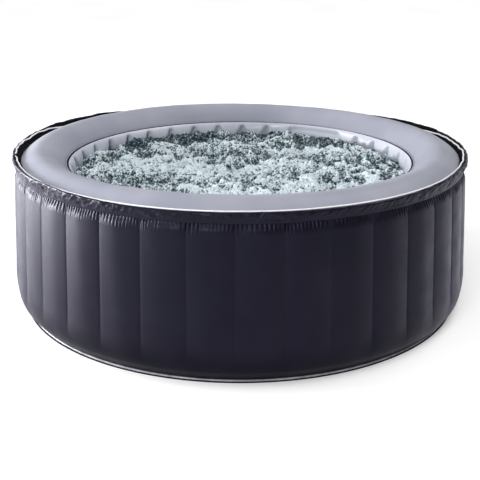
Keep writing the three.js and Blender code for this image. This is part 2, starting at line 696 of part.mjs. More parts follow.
function fascia() {
  const plate = block(
    [COVER_X, -COVER_HALF, FASCIA_BASE + TOUCH],
    [COVER_X + COVER_THICKNESS, COVER_HALF, FASCIA_TOP],
  );
  const keyHoles = KEYS.map((_, i) =>
    rodX(BUTTON_RADIUS + 0.4, COVER_X - 1, COVER_X + 5, KEY_START + i * BUTTON_PITCH, KEYS_Z, 14));
  const display = block(
    [COVER_X - 1, DISPLAY.y0, KEYS_Z - DISPLAY.half],
    [COVER_X + 5, DISPLAY.y1, KEYS_Z + DISPLAY.half],
  );
  return cut(plate, display, ...keyHoles);
}

function displayLens() {
  const { y0, y1, half } = DISPLAY;
  return join(
    block(
      [COVER_X - 1, y0 + TOUCH, KEYS_Z - half + TOUCH],
      [COVER_X + 2.6, y1 - TOUCH, KEYS_Z + half - TOUCH],
    ),
    block([COVER_X - 2.2, y0 - 2, KEYS_Z - half - 2], [COVER_X - TOUCH, y1 + 2, KEYS_Z + half + 2]),
  );
}

// A key: its cap stands out of the fascia and its flange traps it behind.
function key() {
  return join(
    rodX(BUTTON_RADIUS, -1, COVER_THICKNESS + 2.2, 0, 0, 14),
    rodX(BUTTON_RADIUS + 1.5, -2.3, -TOUCH, 0, 0, 8),
  );
}

// The board hangs behind the bezel's ledge, with a relay and a transformer on its back.
function controlBoard() {
  const face = COVER_X - 2 * TOUCH - 3;
  const back = face - 1.6;
  const edge = COVER_HALF - 3;
  return join(
    block([back, -edge, FASCIA_BASE + 3], [face, edge, FASCIA_TOP - 3]),
    block([back - 30, -90, FASCIA_BASE + 12], [back + 0.5, -40, FASCIA_BASE + 52]),
    block([back - 18, -15, FASCIA_BASE + 15], [back + 0.5, 10, FASCIA_BASE + 45]),
  );
}

add(unit, "unit_housing", housing(), BLACK_PLASTIC);
add(unit, "unit_bezel", bezel(), BLACK_PLASTIC);
add(unit, "access_cover", accessCover(), BLACK_PLASTIC);
screwPlaces().forEach(([y, z], i) => {
  add(unit, `cover_screw_${i + 1}`, coverScrew(), STEEL).position.set(COVER_X, y, z);
});
add(unit, "power_gland", powerGland(), BLACK_PLASTIC);
add(unit, "control_fascia", fascia(), GREY_PLASTIC);
add(unit, "display_lens", displayLens(), LENS);
KEYS.forEach((name, i) => {
  const button = add(unit, `${name}_button`, key(), PALE_PLASTIC);
  button.position.set(COVER_X, KEY_START + i * BUTTON_PITCH, KEYS_Z);
});
add(unit, "control_board", controlBoard(), GREEN_BOARD);

// ---------------------------------------------------------------- Pump and heater

const PUMP_COVER_X = FITTING_BARREL + 8;
const VOLUTE_X = PUMP_COVER_X + 6 + TOUCH;
const MOTOR_X = VOLUTE_X + PUMP_WIDTH + TOUCH;
const OUTLET_X = VOLUTE_X + PUMP_WIDTH / 2;
const OUTLET_Y = PUMP_Y - PUMP_RADIUS + PIPE_RADIUS + 4;
const CAVITY_RADIUS = PUMP_RADIUS - 12;
const HEATER_END = 10;
const SHAFT_RADIUS = 4;

const pump = new THREE.Group();
pump.position.set(0, PUMP_Y, PUMP_Z);
unit.add(pump);

function pumpCover() {
  return cut(
    join(
      rodX(PIPE_RADIUS, FITTING_BARREL + TOUCH, PUMP_COVER_X + 1),
      rodX(PUMP_RADIUS, PUMP_COVER_X, VOLUTE_X - TOUCH),
    ),
    rodX(PIPE_BORE, 0, VOLUTE_X + 1),
  );
}

function volute() {
  const outletY = OUTLET_Y - PUMP_Y;
  const top = HEATER_RISE - HEATER_RADIUS - 10;
  return cut(
    join(rodX(PUMP_RADIUS, VOLUTE_X, VOLUTE_X + PUMP_WIDTH), rodZ(PIPE_RADIUS, 0, top, OUTLET_X, outletY)),
    rodX(CAVITY_RADIUS, VOLUTE_X - 1, VOLUTE_X + PUMP_WIDTH - 4),
    rodZ(PIPE_BORE, 0, top + 1, OUTLET_X, outletY),
    rodX(SHAFT_RADIUS + 1, VOLUTE_X, VOLUTE_X + PUMP_WIDTH + 1, 0, 0, 12),
  );
}

// A shaft with a back disc and straight vanes, turning about X.
function impeller(disc, vaneEnd, shaftEnd, radius, vanes) {
  const hub = [disc, vaneEnd].sort((one, other) => one - other);
  const blades = Array.from({ length: vanes }, (_, i) =>
    block([hub[0], SHAFT_RADIUS, -1], [hub[1], radius - 1, 1]).rotateX((i * 2 * Math.PI) / vanes));
  const shaft = [Math.min(shaftEnd, hub[0] + 1), Math.max(shaftEnd, hub[1] - 1)];
  return join(
    rodX(radius, disc - 1.5, disc + 1.5, 0, 0, 20),
    rodX(8, hub[0], hub[1], 0, 0, 12),
    rodX(SHAFT_RADIUS, shaft[0], shaft[1], 0, 0, 12),
    ...blades,
  );
}

// A motor can with a blind bore for the shaft in its near end.
function motor(near, far, radius) {
  const can = [near, far].sort((one, other) => one - other);
  const depth = Math.sign(far - near) * 32;
  const hole = [near - Math.sign(depth), near + depth].sort((one, other) => one - other);
  return cut(rodX(radius, ...can), rodX(SHAFT_RADIUS + 0.4, ...hole, 0, 0, 12));
}

function heaterTube() {
  const axisX = OUTLET_X;
  const start = OUTLET_Y - PIPE_RADIUS - 6;
  const foot = PUMP_Z + HEATER_RISE - HEATER_RADIUS - 10 + TOUCH;
  return cut(
    join(
      rodY(HEATER_RADIUS, start, HEATER_END, axisX, HEATER_Z),
      rodZ(PIPE_RADIUS, foot, HEATER_Z, axisX, OUTLET_Y),
      rodY(PIPE_RADIUS, HEATER_END - 1, HEATER_END + 6, axisX, HEATER_Z),
    ),
    rodY(HEATER_RADIUS - PIPE_WALL, start + PIPE_WALL, HEATER_END - PIPE_WALL, axisX, HEATER_Z),
    rodZ(PIPE_BORE, foot - 1, HEATER_Z, axisX, OUTLET_Y),
    rodY(PIPE_BORE, HEATER_END - 10, HEATER_END + 7, axisX, HEATER_Z),
  );
}

function returnPipe() {
  const path = new THREE.QuadraticBezierCurve3(
    new THREE.Vector3(OUTLET_X, HEATER_END + 6 + TOUCH, HEATER_Z),
    new THREE.Vector3(OUTLET_X, RETURN_Y, HEATER_Z),
    new THREE.Vector3(FITTING_BARREL + 4 + TOUCH, RETURN_Y, HEATER_Z),
  );
  return pipe(path, PIPE_BORE, PIPE_WALL, 8);
}

add(pump, "pump_cover", pumpCover(), GREY_PLASTIC);
add(pump, "pump_volute", volute(), GREY_PLASTIC);
const pumpDisc = VOLUTE_X + PUMP_WIDTH - 12;
const pumpImpeller = impeller(pumpDisc, VOLUTE_X + 8, MOTOR_X + 28, CAVITY_RADIUS - 4, 5);
add(pump, "pump_impeller", pumpImpeller, BLACK_PLASTIC);
add(pump, "pump_motor", motor(MOTOR_X, MOTOR_X + MOTOR_LENGTH, MOTOR_RADIUS), STEEL);
add(unit, "heater_tube", heaterTube(), STEEL);
add(unit, "return_pipe", returnPipe(), GREY_PLASTIC);

// ---------------------------------------------------------------- Blower and air line

const BLOWER_X = MOTOR_X + 1;
const BLOWER_CAVITY = BLOWER_RADIUS - 6;
const RISER_Y = RETURN_Y + BLOWER_RADIUS - 12;
const RISER_X = BLOWER_X + BLOWER_WIDTH / 2;
const RISER_BASE = BLOWER_Z + 65;
const RISER_BEND = 32; // from the check valve up to the middle of the drop pipe's top run
const CHECK_Z = UNIT_HEIGHT - HOUSING_WALL - ROOF_GAP - DROP_BORE - PIPE_WALL - RISER_BEND - CHECK_LENGTH;

const blower = new THREE.Group();
blower.position.set(0, RETURN_Y, BLOWER_Z);
unit.add(blower);

function blowerHousing() {
  const far = BLOWER_X + BLOWER_WIDTH;
  const top = RISER_BASE - BLOWER_Z;
  return cut(
    join(rodX(BLOWER_RADIUS, BLOWER_X, far), rodZ(PIPE_RADIUS, 0, top, RISER_X, RISER_Y - RETURN_Y)),
    rodX(BLOWER_CAVITY, BLOWER_X + 3, far - 3),
    rodX(16, far - 4, far + 1),
    rodX(SHAFT_RADIUS + 1, BLOWER_X - 1, BLOWER_X + 4, 0, 0, 12),
    rodZ(PIPE_BORE, 0, top + 1, RISER_X, RISER_Y - RETURN_Y),
  );
}

function riser() {
  const ends = [RISER_BASE + TOUCH, CHECK_Z - TOUCH];
  return cut(
    rodZ(PIPE_RADIUS, ends[0], ends[1], RISER_X, RISER_Y),
    rodZ(PIPE_BORE, ends[0] - 1, ends[1] + 1, RISER_X, RISER_Y),
  );
}

// Check valve: the flap hangs on a pin across the bore and closes on the seat below it.
const SEAT_TOP = 11;
const FLAP_RADIUS = 13.5;
const PIN_Y = -13.5;
const PIN_Z = SEAT_TOP + TOUCH + 3;

const checkValve = new THREE.Group();
checkValve.position.set(RISER_X, RISER_Y, CHECK_Z);
unit.add(checkValve);

function checkValveBody() {
  const bore = CHECK_RADIUS - 4;
  const shell = cut(
    rodZ(CHECK_RADIUS, 0, CHECK_LENGTH),
    rodZ(PIPE_BORE, -1, 20),
    rodZ(bore, SEAT_TOP, CHECK_LENGTH - 4),
    rodZ(DROP_BORE, 20, CHECK_LENGTH + 1),
  );
  return join(shell, rodX(1.2, -CHECK_RADIUS + 7, CHECK_RADIUS - 7, PIN_Y, PIN_Z, 8));
}

function checkValveFlap() {
  const low = SEAT_TOP + TOUCH;
  return cut(
    join(rodZ(FLAP_RADIUS, low, low + 2), rodX(3, -5, 5, PIN_Y, PIN_Z, 12)),
    rodX(1.5, -8, 8, PIN_Y, PIN_Z, 12),
  );
}

// Over the top of the check valve and down to the bubble channel, through the inner wall.
function dropPipe() {
  const top = CHECK_Z + CHECK_LENGTH + RISER_BEND;
  const start = CHECK_Z + CHECK_LENGTH + TOUCH;
  const foot = CHANNEL_Z - UNIT_BASE;
  const bend = 26;
  const dropX = HOUSING_WALL + bend + 6;
  const across = new THREE.Vector2(dropX - RISER_X, DROP_Y - RISER_Y).normalize();
  const at = (x, y, z) => new THREE.Vector3(x, y, z);
  const overRiser = at(RISER_X, RISER_Y, top);
  const leave = at(RISER_X + across.x * bend, RISER_Y + across.y * bend, top);
  const arrive = at(dropX - across.x * bend, DROP_Y - across.y * bend, top);
  const dropHead = at(dropX, DROP_Y, top - bend);
  const dropFoot = at(dropX, DROP_Y, foot + bend);
  const level = at(dropX - bend, DROP_Y, foot);
  const path = new THREE.CurvePath();
  path.add(new THREE.QuadraticBezierCurve3(at(RISER_X, RISER_Y, start), overRiser, leave));
  path.add(new THREE.LineCurve3(leave, arrive));
  path.add(new THREE.QuadraticBezierCurve3(arrive, at(dropX, DROP_Y, top), dropHead));
  path.add(new THREE.LineCurve3(dropHead, dropFoot));
  path.add(new THREE.QuadraticBezierCurve3(dropFoot, at(dropX, DROP_Y, foot), level));
  path.add(new THREE.LineCurve3(level, at(-8, DROP_Y, foot)));
  return pipe(path, DROP_BORE, PIPE_WALL, 28);
}

add(blower, "blower_housing", blowerHousing(), BLACK_PLASTIC);
add(blower, "blower_motor", motor(BLOWER_X - TOUCH, BLOWER_X - 38, 30), STEEL);
const fan = impeller(BLOWER_X + 9, BLOWER_X + 30, BLOWER_X - 28, BLOWER_CAVITY - 4, 8);
add(blower, "blower_impeller", fan, GREY_PLASTIC);
add(unit, "air_riser_pipe", riser(), GREY_PLASTIC);
add(checkValve, "check_valve_body", checkValveBody(), GREY_PLASTIC);
add(checkValve, "check_valve_flap", checkValveFlap(), SEAL_RUBBER);
add(unit, "air_drop_pipe", dropPipe(), GREY_PLASTIC);

// ---------------------------------------------------------------- Fittings through the inner wall

const FLANGE = 4;
const flangeX = [WATER_X - FLANGE, WATER_X];

function fittingNut() {
  const near = HOUSING_WALL + TOUCH;
  const thread = rodX(FITTING_BARREL + TOUCH, near - 1, near + 7);
  return cut(rodX(FITTING_BARREL + 9, near, near + 6, 0, 0, 6), thread);
}

function suctionFitting() {
  return cut(
    join(
      rodX(FILTER_RADIUS, ...flangeX, 0, 0, 24),
      rodX(FITTING_BARREL, flangeX[0], FITTING_BARREL),
      rodX(20, flangeX[0] - 6, flangeX[0] + 1),
    ),
    rodX(PIPE_BORE, flangeX[0] - 10, FITTING_BARREL + 1),
  );
}

// Pleated ring between two flat ends, plugged on the suction fitting's collar.
function filterCartridge() {
  const near = flangeX[0] - TOUCH;
  const outer = FILTER_RADIUS - 8;
  const pleats = new THREE.Shape(
    Array.from({ length: 36 }, (_, i) => {
      const radius = i % 2 ? outer : outer - 7;
      const angle = (i * 2 * Math.PI) / 36;
      return new THREE.Vector2(radius * Math.cos(angle), radius * Math.sin(angle));
    }),
  );
  const depth = FILTER_LENGTH - 18;
  const core = new THREE.ExtrudeGeometry(pleats, { depth, bevelEnabled: false });
  core.rotateY(-Math.PI / 2).translate(near - 1, 0, 0);
  const ends = [near - 4, near - depth - 2].map((x) => rodX(outer + 1, x, x + 4));
  return cut(join(core, ...ends), rodX(20 + TOUCH, near - depth - 10, near + 5));
}

// Slotted basket over the cartridge; it turns off the fitting like a bayonet cap.
function filterCover() {
  const open = flangeX[0] - TOUCH;
  const end = open - FILTER_LENGTH;
  const slots = Array.from({ length: 6 }, (_, i) =>
    block([end + 12, -FILTER_RADIUS - 5, -3], [open - 14, FILTER_RADIUS + 5, 3]).rotateX((i * Math.PI) / 6));
  const hollow = rodX(FILTER_RADIUS - 3, end + 4, open + 1, 0, 0, 24);
  return cut(rodX(FILTER_RADIUS, end, open, 0, 0, 24), hollow, ...slots);
}

const BALL_X = flangeX[0] - 6;

function returnFitting() {
  return cut(
    join(
      rodX(30, ...flangeX),
      rodX(19, BALL_X, flangeX[0] + 1),
      rodX(FITTING_BARREL, flangeX[0], FITTING_BARREL + 4),
    ),
    ball(BALL_RADIUS + BALL_PLAY, BALL_X),
    rodX(PIPE_BORE, BALL_X, FITTING_BARREL + 5),
  );
}

function nozzleRing() {
  return cut(
    rodX(23, BALL_X - 7.5, flangeX[0] - TOUCH),
    rodX(19 + TOUCH, BALL_X - TOUCH, flangeX[0]),
    ball(BALL_RADIUS + BALL_PLAY, BALL_X),
    rodX(12.5, BALL_X - 8, BALL_X),
  );
}

// Eyeball jet, drawn about the middle of its ball.
function returnNozzle() {
  return cut(join(ball(BALL_RADIUS), rodX(9, -22, -6)), rodX(6, -23, 20, 0, 0, 16));
}

const suction = new THREE.Group();
suction.position.set(0, PUMP_Y, PUMP_Z);
const waterReturn = new THREE.Group();
waterReturn.position.set(0, RETURN_Y, HEATER_Z);
unit.add(suction, waterReturn);
add(suction, "suction_fitting", suctionFitting(), PALE_PLASTIC);
add(suction, "suction_nut", fittingNut(), PALE_PLASTIC);
add(suction, "filter_cartridge", filterCartridge(), FILTER_PAPER);
add(suction, "filter_cover", filterCover(), PALE_PLASTIC);
add(waterReturn, "return_fitting", returnFitting(), PALE_PLASTIC);
add(waterReturn, "return_nut", fittingNut(), PALE_PLASTIC);
add(waterReturn, "nozzle_ring", nozzleRing(), PALE_PLASTIC);
add(waterReturn, "return_nozzle", returnNozzle(), PALE_PLASTIC).position.x = BALL_X;

export default tub;
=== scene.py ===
# %% [markdown]
# # A round inflatable hot tub, in Blender
#
# The tub is a ring of air with a floor: a silver bathing shell inside, a dark quilted jacket
# outside, a crowned silver rim on top, and a pump unit built into the wall at the back.
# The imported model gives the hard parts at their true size. This script builds the soft parts,
# which need curves far finer than a solid for engineering has, and gives every part its finish.
#
# Everything is in metres. +Z is up and the origin is on the ground under the tub's middle.

import json
import math

import bpy
import numpy as np
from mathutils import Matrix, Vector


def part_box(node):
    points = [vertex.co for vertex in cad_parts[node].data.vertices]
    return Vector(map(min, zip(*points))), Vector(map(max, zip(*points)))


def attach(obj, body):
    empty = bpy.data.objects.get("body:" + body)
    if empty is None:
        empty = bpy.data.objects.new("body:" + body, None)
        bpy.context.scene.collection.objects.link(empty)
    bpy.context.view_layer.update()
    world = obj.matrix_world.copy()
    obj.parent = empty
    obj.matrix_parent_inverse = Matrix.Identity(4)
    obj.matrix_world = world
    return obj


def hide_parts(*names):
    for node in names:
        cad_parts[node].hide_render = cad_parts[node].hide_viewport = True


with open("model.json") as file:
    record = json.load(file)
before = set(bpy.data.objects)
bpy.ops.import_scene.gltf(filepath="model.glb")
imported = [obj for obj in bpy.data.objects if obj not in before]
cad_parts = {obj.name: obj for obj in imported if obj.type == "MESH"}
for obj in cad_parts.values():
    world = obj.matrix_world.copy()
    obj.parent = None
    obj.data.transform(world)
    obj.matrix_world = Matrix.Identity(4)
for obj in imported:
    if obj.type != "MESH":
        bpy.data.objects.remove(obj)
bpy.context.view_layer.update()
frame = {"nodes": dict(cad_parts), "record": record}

# %% [markdown]
# ## Camera
#
# A product shot of something two metres wide is taken from a few metres away with a short
# telephoto lens, a little above the rim, so that the water shows. An angle of view of 32 degrees
# keeps the ellipse of the rim natural; a wider lens from nearer would stretch the front.

# %% Camera
VIEW_ANGLE = math.radians(32)
PITCH_DOWN = math.radians(19.4)
SENSOR = 36.0

camera = bpy.data.objects.new("camera", bpy.data.cameras.new("camera"))
bpy.context.scene.collection.objects.link(camera)
bpy.context.scene.camera = camera
camera.data.sensor_width = SENSOR
camera.data.lens = SENSOR / 2 / math.tan(VIEW_ANGLE / 2)
camera.location = (0.066, -3.789, 1.549)  # 3.8 m from the tub's middle, at eye height
turn_to_axis = math.atan2(camera.location.x, -camera.location.y)
camera.rotation_euler = (math.pi / 2 - PITCH_DOWN, 0, turn_to_axis)
print("lens", round(camera.data.lens, 2), "mm")

# %% [markdown]
# ## Studio
#
# The floor is a wide pale sheet that runs far past the edge of the main view. One large soft light
# stands at the left, which is what makes the left panels of the dark jacket shine and leaves the
# front ones nearly black. A weaker one stands high in front. A soft sun from above whitens the
# floor, and a dim sky, brighter towards the left, fills the shade.


# %% Studio
def linear(hex_colour):
    """An sRGB colour such as "#A1A2AD" as linear red, green, blue and alpha 1."""
    srgb = [int(hex_colour[i : i + 2], 16) / 255 for i in (1, 3, 5)]
    return tuple(c / 12.92 if c <= 0.04045 else ((c + 0.055) / 1.055) ** 2.4 for c in srgb) + (1.0,)


def add(tree, kind, inputs=None, **settings):
    """Adds one node to a tree. inputs maps socket names or numbers to a value or to a socket."""
    made = tree.nodes.new("ShaderNode" + kind)
    for name, value in settings.items():
        setattr(made, name, value)
    for name, value in (inputs or {}).items():
        if isinstance(value, bpy.types.NodeSocket):
            tree.links.new(value, made.inputs[name])
        else:
            made.inputs[name].default_value = value
    return made


def lamp(name, kind, energy, place, target, **settings):
    """A light at a place, aimed at a target."""
    light = bpy.data.objects.new(name, bpy.data.lights.new(name, kind))
    bpy.context.scene.collection.objects.link(light)
    light.data.energy = energy
    light.visible_camera = False
    for key, value in settings.items():
        setattr(light.data, key, value)
    light.location = place
    aim = np.array(target, float) - np.array(place, float)
    light.rotation_euler = (
        math.acos(-aim[2] / np.linalg.norm(aim)),
        0,
        math.atan2(aim[1], aim[0]) - math.pi / 2,
    )
    return light


bpy.context.scene.view_settings.view_transform = "Standard"
lamp("soft_sun", "SUN", 1.45, (3.2, 1.6, 6.0), (0, 0, 0), angle=math.radians(45))
lamp("left_softbox", "AREA", 800, (-5.8, 0.5, 1.00), (0, 0, 0.6),
     shape="RECTANGLE", size=3.6, size_y=1.7)
lamp("front_fill", "AREA", 175, (-1.6, -5.4, 3.3), (0, 0.5, 0.6),
     shape="RECTANGLE", size=2.4, size_y=1.6)

world = bpy.data.worlds.new("dim_sky")
bpy.context.scene.world = world
world.use_nodes = True
sky = world.node_tree
sky.nodes.clear()
direction = add(sky, "TexCoord").outputs["Generated"]
towards_light = add(sky, "VectorMath", {0: direction, 1: (-0.72, 0.62, 0.30)}, operation="DOT_PRODUCT")
strength = add(sky, "MapRange", {"Value": towards_light.outputs["Value"], "From Min": -0.8,
                                 "From Max": 0.9, "To Min": 0.11, "To Max": 0.85}).outputs[0]
glow = add(sky, "Background", {"Color": (1, 1, 1, 1), "Strength": strength})
add(sky, "OutputWorld", {"Surface": glow.outputs[0]})

FLOOR_HALF = 45.0
FLOOR_DROP = 0.0006  # keeps the floor just clear of the tub's underside
floor_mesh = bpy.data.meshes.new("studio_floor")
corner = np.array([(-1, -1), (1, -1), (1, 1), (-1, 1)]) * FLOOR_HALF
floor_mesh.from_pydata([(x, y, -FLOOR_DROP) for x, y in corner.tolist()], [], [(0, 1, 2, 3)])
studio_floor = bpy.data.objects.new("studio_floor", floor_mesh)
bpy.context.scene.collection.objects.link(studio_floor)
print("studio ready")

# %% [markdown]
# ## A grid of points becomes a piece
#
# Each soft part is a surface worked out on a grid: columns run round the tub and rows run along
# a profile. All its points come from one numpy expression, and neighbouring points are joined in
# squares whose corners go counter-clockwise seen from outside, so the faces point outwards.


# %% Grid helpers
def squares(rows, columns, loop_profile=False):
    """Corner numbers of each square between neighbouring grid points; columns close on themselves."""
    number = np.arange(rows * columns).reshape(rows, columns)
    number = np.hstack([number, number[:, :1]])
    if loop_profile:
        number = np.vstack([number, number[:1]])
    low, high = number[:-1], number[1:]
    return np.stack([low[:, :-1], low[:, 1:], high[:, 1:], high[:, :-1]], -1)


def round_steps(count):
    """Evenly spaced angles: one full turn in count steps."""
    return np.arange(count) * 2 * math.pi / count


def turned(angle, radius, height):
    """Points at (radius, angle, height) about the tub's axis."""
    angle, radius, height = np.broadcast_arrays(angle, radius, height)
    return np.stack([radius * np.cos(angle), radius * np.sin(angle), height], -1)


def piece(name, points, faces, replaces=(), body="tub"):
    """Makes a smooth mesh piece from points and faces, leaving out unused points."""
    points = np.asarray(points, float).reshape(-1, 3)
    sizes = np.array([len(face) for face in faces])
    corners = np.concatenate([np.asarray(face) for face in faces])
    used, corners = np.unique(corners, return_inverse=True)
    mesh = bpy.data.meshes.new(name)
    mesh.vertices.add(len(used))
    mesh.vertices.foreach_set("co", points[used].astype(np.float32).ravel())
    mesh.loops.add(len(corners))
    mesh.loops.foreach_set("vertex_index", corners.astype(np.int32).ravel())
    mesh.polygons.add(len(sizes))
    mesh.polygons.foreach_set("loop_start", (np.cumsum(sizes) - sizes).astype(np.int32))
    mesh.polygons.foreach_set("use_smooth", np.ones(len(sizes), bool))
    mesh.update(calc_edges=True)
    mesh.validate()
    made = bpy.data.objects.new(name, mesh)
    bpy.context.scene.collection.objects.link(made)
    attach(made, body)
    if replaces:
        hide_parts(*replaces)
    print(f"{name}: {len(used)} points, {int((sizes - 2).sum())} triangles")
    return made, used


def span(low, high, x):
    """0 below low, 1 above high, and a smooth step between."""
    t = np.clip((x - low) / (high - low), 0, 1)
    return t * t * (3 - 2 * t)


def value_noise(x, y, seed):
    """Smooth noise from 0 to 1: random numbers on a unit grid, blended by a quintic in each square."""
    table = np.random.default_rng(seed).random((64, 64))
    x0, y0 = np.floor(x).astype(int), np.floor(y).astype(int)
    fx, fy = x - x0, y - y0
    fx, fy = (f**3 * (f * (6 * f - 15) + 10) for f in (fx, fy))
    a, b = table[x0 % 64, y0 % 64], table[(x0 + 1) % 64, y0 % 64]
    c, d = table[x0 % 64, (y0 + 1) % 64], table[(x0 + 1) % 64, (y0 + 1) % 64]
    return (a * (1 - fx) + b * fx) * (1 - fy) + (c * (1 - fx) + d * fx) * fy


def ripple(angle, phase, waves, size, seed):
    """A sum of sines with whole wave counts, so it meets itself; phase shifts each one."""
    rng = np.random.default_rng(seed)
    return sum(
        size * rng.uniform(0.4, 1.0) / math.sqrt(len(waves))
        * np.sin(n * angle + rng.uniform(0, 6.3) + rng.uniform(-1, 1) * phase)
        for n in waves
    )


# %% [markdown]
# ## Measurements
#
# The radii and heights below are read from the frame, so a piece lands where the solid is.
# A web is a strip of cloth welded between the two walls. There are 36 places for one, ten
# degrees apart, and each shows as a seam; the wall swells out between them.

# %% Measurements
WEB_ANGLE = math.radians(10)
WALL = 1.0  # radius of the jacket at its seams
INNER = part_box("inner_welt")[1].x - 0.0022  # radius of the bathing shell at its seams
WELT_Z = sum(corner.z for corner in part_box("inner_welt")) / 2 + 0.0007
RIM_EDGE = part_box("top_rim")[1].x
RIM_EDGE_Z = WELT_Z + 0.032
CROWN = 0.051
BAND_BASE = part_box("hem_band")[0].z
WALL_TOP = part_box("outer_wall")[1].z
UNIT_ANGLE = math.radians(60)
DRAIN_ANGLE, DRAIN_Z = math.radians(35), 0.045
VALVE_ANGLE, VALVE_Z = math.radians(45), 0.480
print("wall", WALL, "inner", round(INNER, 4), "welt", round(WELT_Z, 4), "rim edge", round(RIM_EDGE, 4))

# %% [markdown]
# ## The quilted jacket
#
# The outer wall is a coated fabric laminate, quilted by the webs into upright panels. Inflated,
# each panel is an arc between two sharp seams, so its bulge is a parabola across the panel. The
# seams themselves bow outwards into a belly that is fullest just above the ground, and die out
# where the wall turns under. The service side, where the unit, the valve and the drain are set, is
# straight.
#
# At the top the fabric is longer than the band it is sewn to, and the surplus stands in short
# upright gathers. They are 15 mm apart and need fine columns, so the grid has six times as many
# columns there, and one row of many-sided faces joins the two.

# %% Jacket shape
PANEL_BULGE = 0.0088
FOOT_Z, FOOT_IN = 0.075, 0.009
# Height of a point of the belly's outline, and how far it stands outside the straight wall.
BELLY_OUTLINE = np.array([
    (0.0000, -0.0020), (0.0060, 0.0020), (0.0180, 0.0110), (0.0340, 0.0235), (0.0550, 0.0345),
    (0.0780, 0.0395), (0.1050, 0.0402), (0.1550, 0.0364), (0.2200, 0.0319), (0.3000, 0.0271),
    (0.3725, 0.0228), (0.4500, 0.0178), (0.5200, 0.0129), (0.5900, 0.0073), (0.6120, 0.0028),
    (0.6260, 0.0004), (0.7000, 0.0000),
])
PUCKERS = 432
GATHER_Z = BAND_BASE + 0.0015

rng = np.random.default_rng(11)
pucker_reach = rng.uniform(0.018, 0.055, PUCKERS)
pucker_depth = rng.uniform(0.35, 1.0, PUCKERS) * 0.0080
print(PUCKERS, "gathers, up to", round(1000 * pucker_depth.max(), 1), "mm deep")


def crowd_to_seams(angle):
    """Moves evenly spaced columns towards the seams, four times closer there, so a seam is a crease."""
    across = np.mod(angle / WEB_ANGLE + 1e-9, 1)
    return angle - 0.75 * WEB_ANGLE * np.sin(2 * math.pi * across) / (2 * math.pi)


def between_seams(angle):
    """0 at a seam, 1 in the middle of a panel: a parabola, as an inflated strip takes."""
    across = np.mod(angle / WEB_ANGLE, 1)
    return 4 * across * (1 - across)


def pucker(angle, z):
    """Narrow dents under the band: each has its own depth and its own reach down the panel."""
    count = PUCKERS * angle / (2 * math.pi) + 0.7 * np.sin(7 * angle + 1) + 0.4 * np.sin(23 * angle)
    which = np.floor(count).astype(int)
    across = count - which
    which %= PUCKERS
    reach = pucker_reach[which]
    ramp = np.clip((z - (GATHER_Z - reach)) / reach, 0, 1) ** 0.8
    ramp *= np.clip((WALL_TOP - z) / 0.004, 0, 1)
    fold = np.exp(-(((across - 0.5) / 0.16) ** 2)) - 0.20
    return -pucker_depth[which] * fold * ramp


def belly(angle, z):
    """How far the seams stand outside a straight wall: a smooth curve in height.

    It is none on the service side, and grows to its full size over the next panel.
    """
    bays = np.mod(angle - UNIT_ANGLE + math.pi, 2 * math.pi) - math.pi
    share = span(0, 1, np.maximum(-3 - bays / WEB_ANGLE, bays / WEB_ANGLE - 1))
    fine_z = np.linspace(0, 0.7, 701)
    curve = np.interp(fine_z, BELLY_OUTLINE[:, 0], BELLY_OUTLINE[:, 1])
    curve[5:-5] = np.convolve(curve, np.ones(11) / 11, "valid")
    return share * np.interp(z, fine_z, curve)


def jacket_radius(angle, z):
    """Seam radius, belly and each panel's bulge, less the turn-under, plus gathers and slack."""
    beside_unit = 1 - span(WEB_ANGLE * 0.995, WEB_ANGLE, np.abs(angle - UNIT_ANGLE))
    sway = np.sin(z * 9 + 3 * np.floor(angle / WEB_ANGLE)) * 0.0012
    bulge = between_seams(angle + sway) * span(0.06, 0.165, z) * (1 - span(0.600, 0.628, z))
    foot = FOOT_IN * np.clip(1 - z / FOOT_Z, 0, 1) ** 2
    across = np.mod(angle / WEB_ANGLE + 0.5, 1) - 0.5
    groove = 0.0011 * np.exp(-((across * WEB_ANGLE / 0.0036) ** 2)) * span(0.10, 0.19, z)
    slack = ripple(angle, z * 11, (23, 31, 41, 57, 77), 0.0009, 3) * between_seams(angle)
    slack *= span(0.02, 0.2, z) * (1 - span(0.56, 0.62, z))
    tuck = 0.0008 * span(0.60, 0.625, z)
    quilting = (PANEL_BULGE * bulge + slack - groove) * (1 - beside_unit)
    return WALL + belly(angle, z) + quilting - foot + tuck + pucker(angle, z)


def open_round(angle, height, wall_radius, centre_angle, centre_z, radius):
    """Leaves out the squares inside a round hole and moves the corners of the gap onto the circle."""
    across, up = wall_radius * (angle - centre_angle), height - centre_z
    mid = lambda grid: (grid[:-1, :-1] + grid[1:, :-1] + grid[:-1, 1:] + grid[1:, 1:]) / 4
    gone = np.hypot(mid(across), mid(up)) < radius
    padded = np.pad(gone, 1)
    near = np.stack([padded[:-1, :-1], padded[1:, :-1], padded[:-1, 1:], padded[1:, 1:]])
    edge = near.any(0) & ~near.all(0)
    scale = np.where(edge, radius / np.maximum(np.hypot(across, up), 1e-6), 1)
    return centre_angle + across * scale / wall_radius, centre_z + up * scale, gone


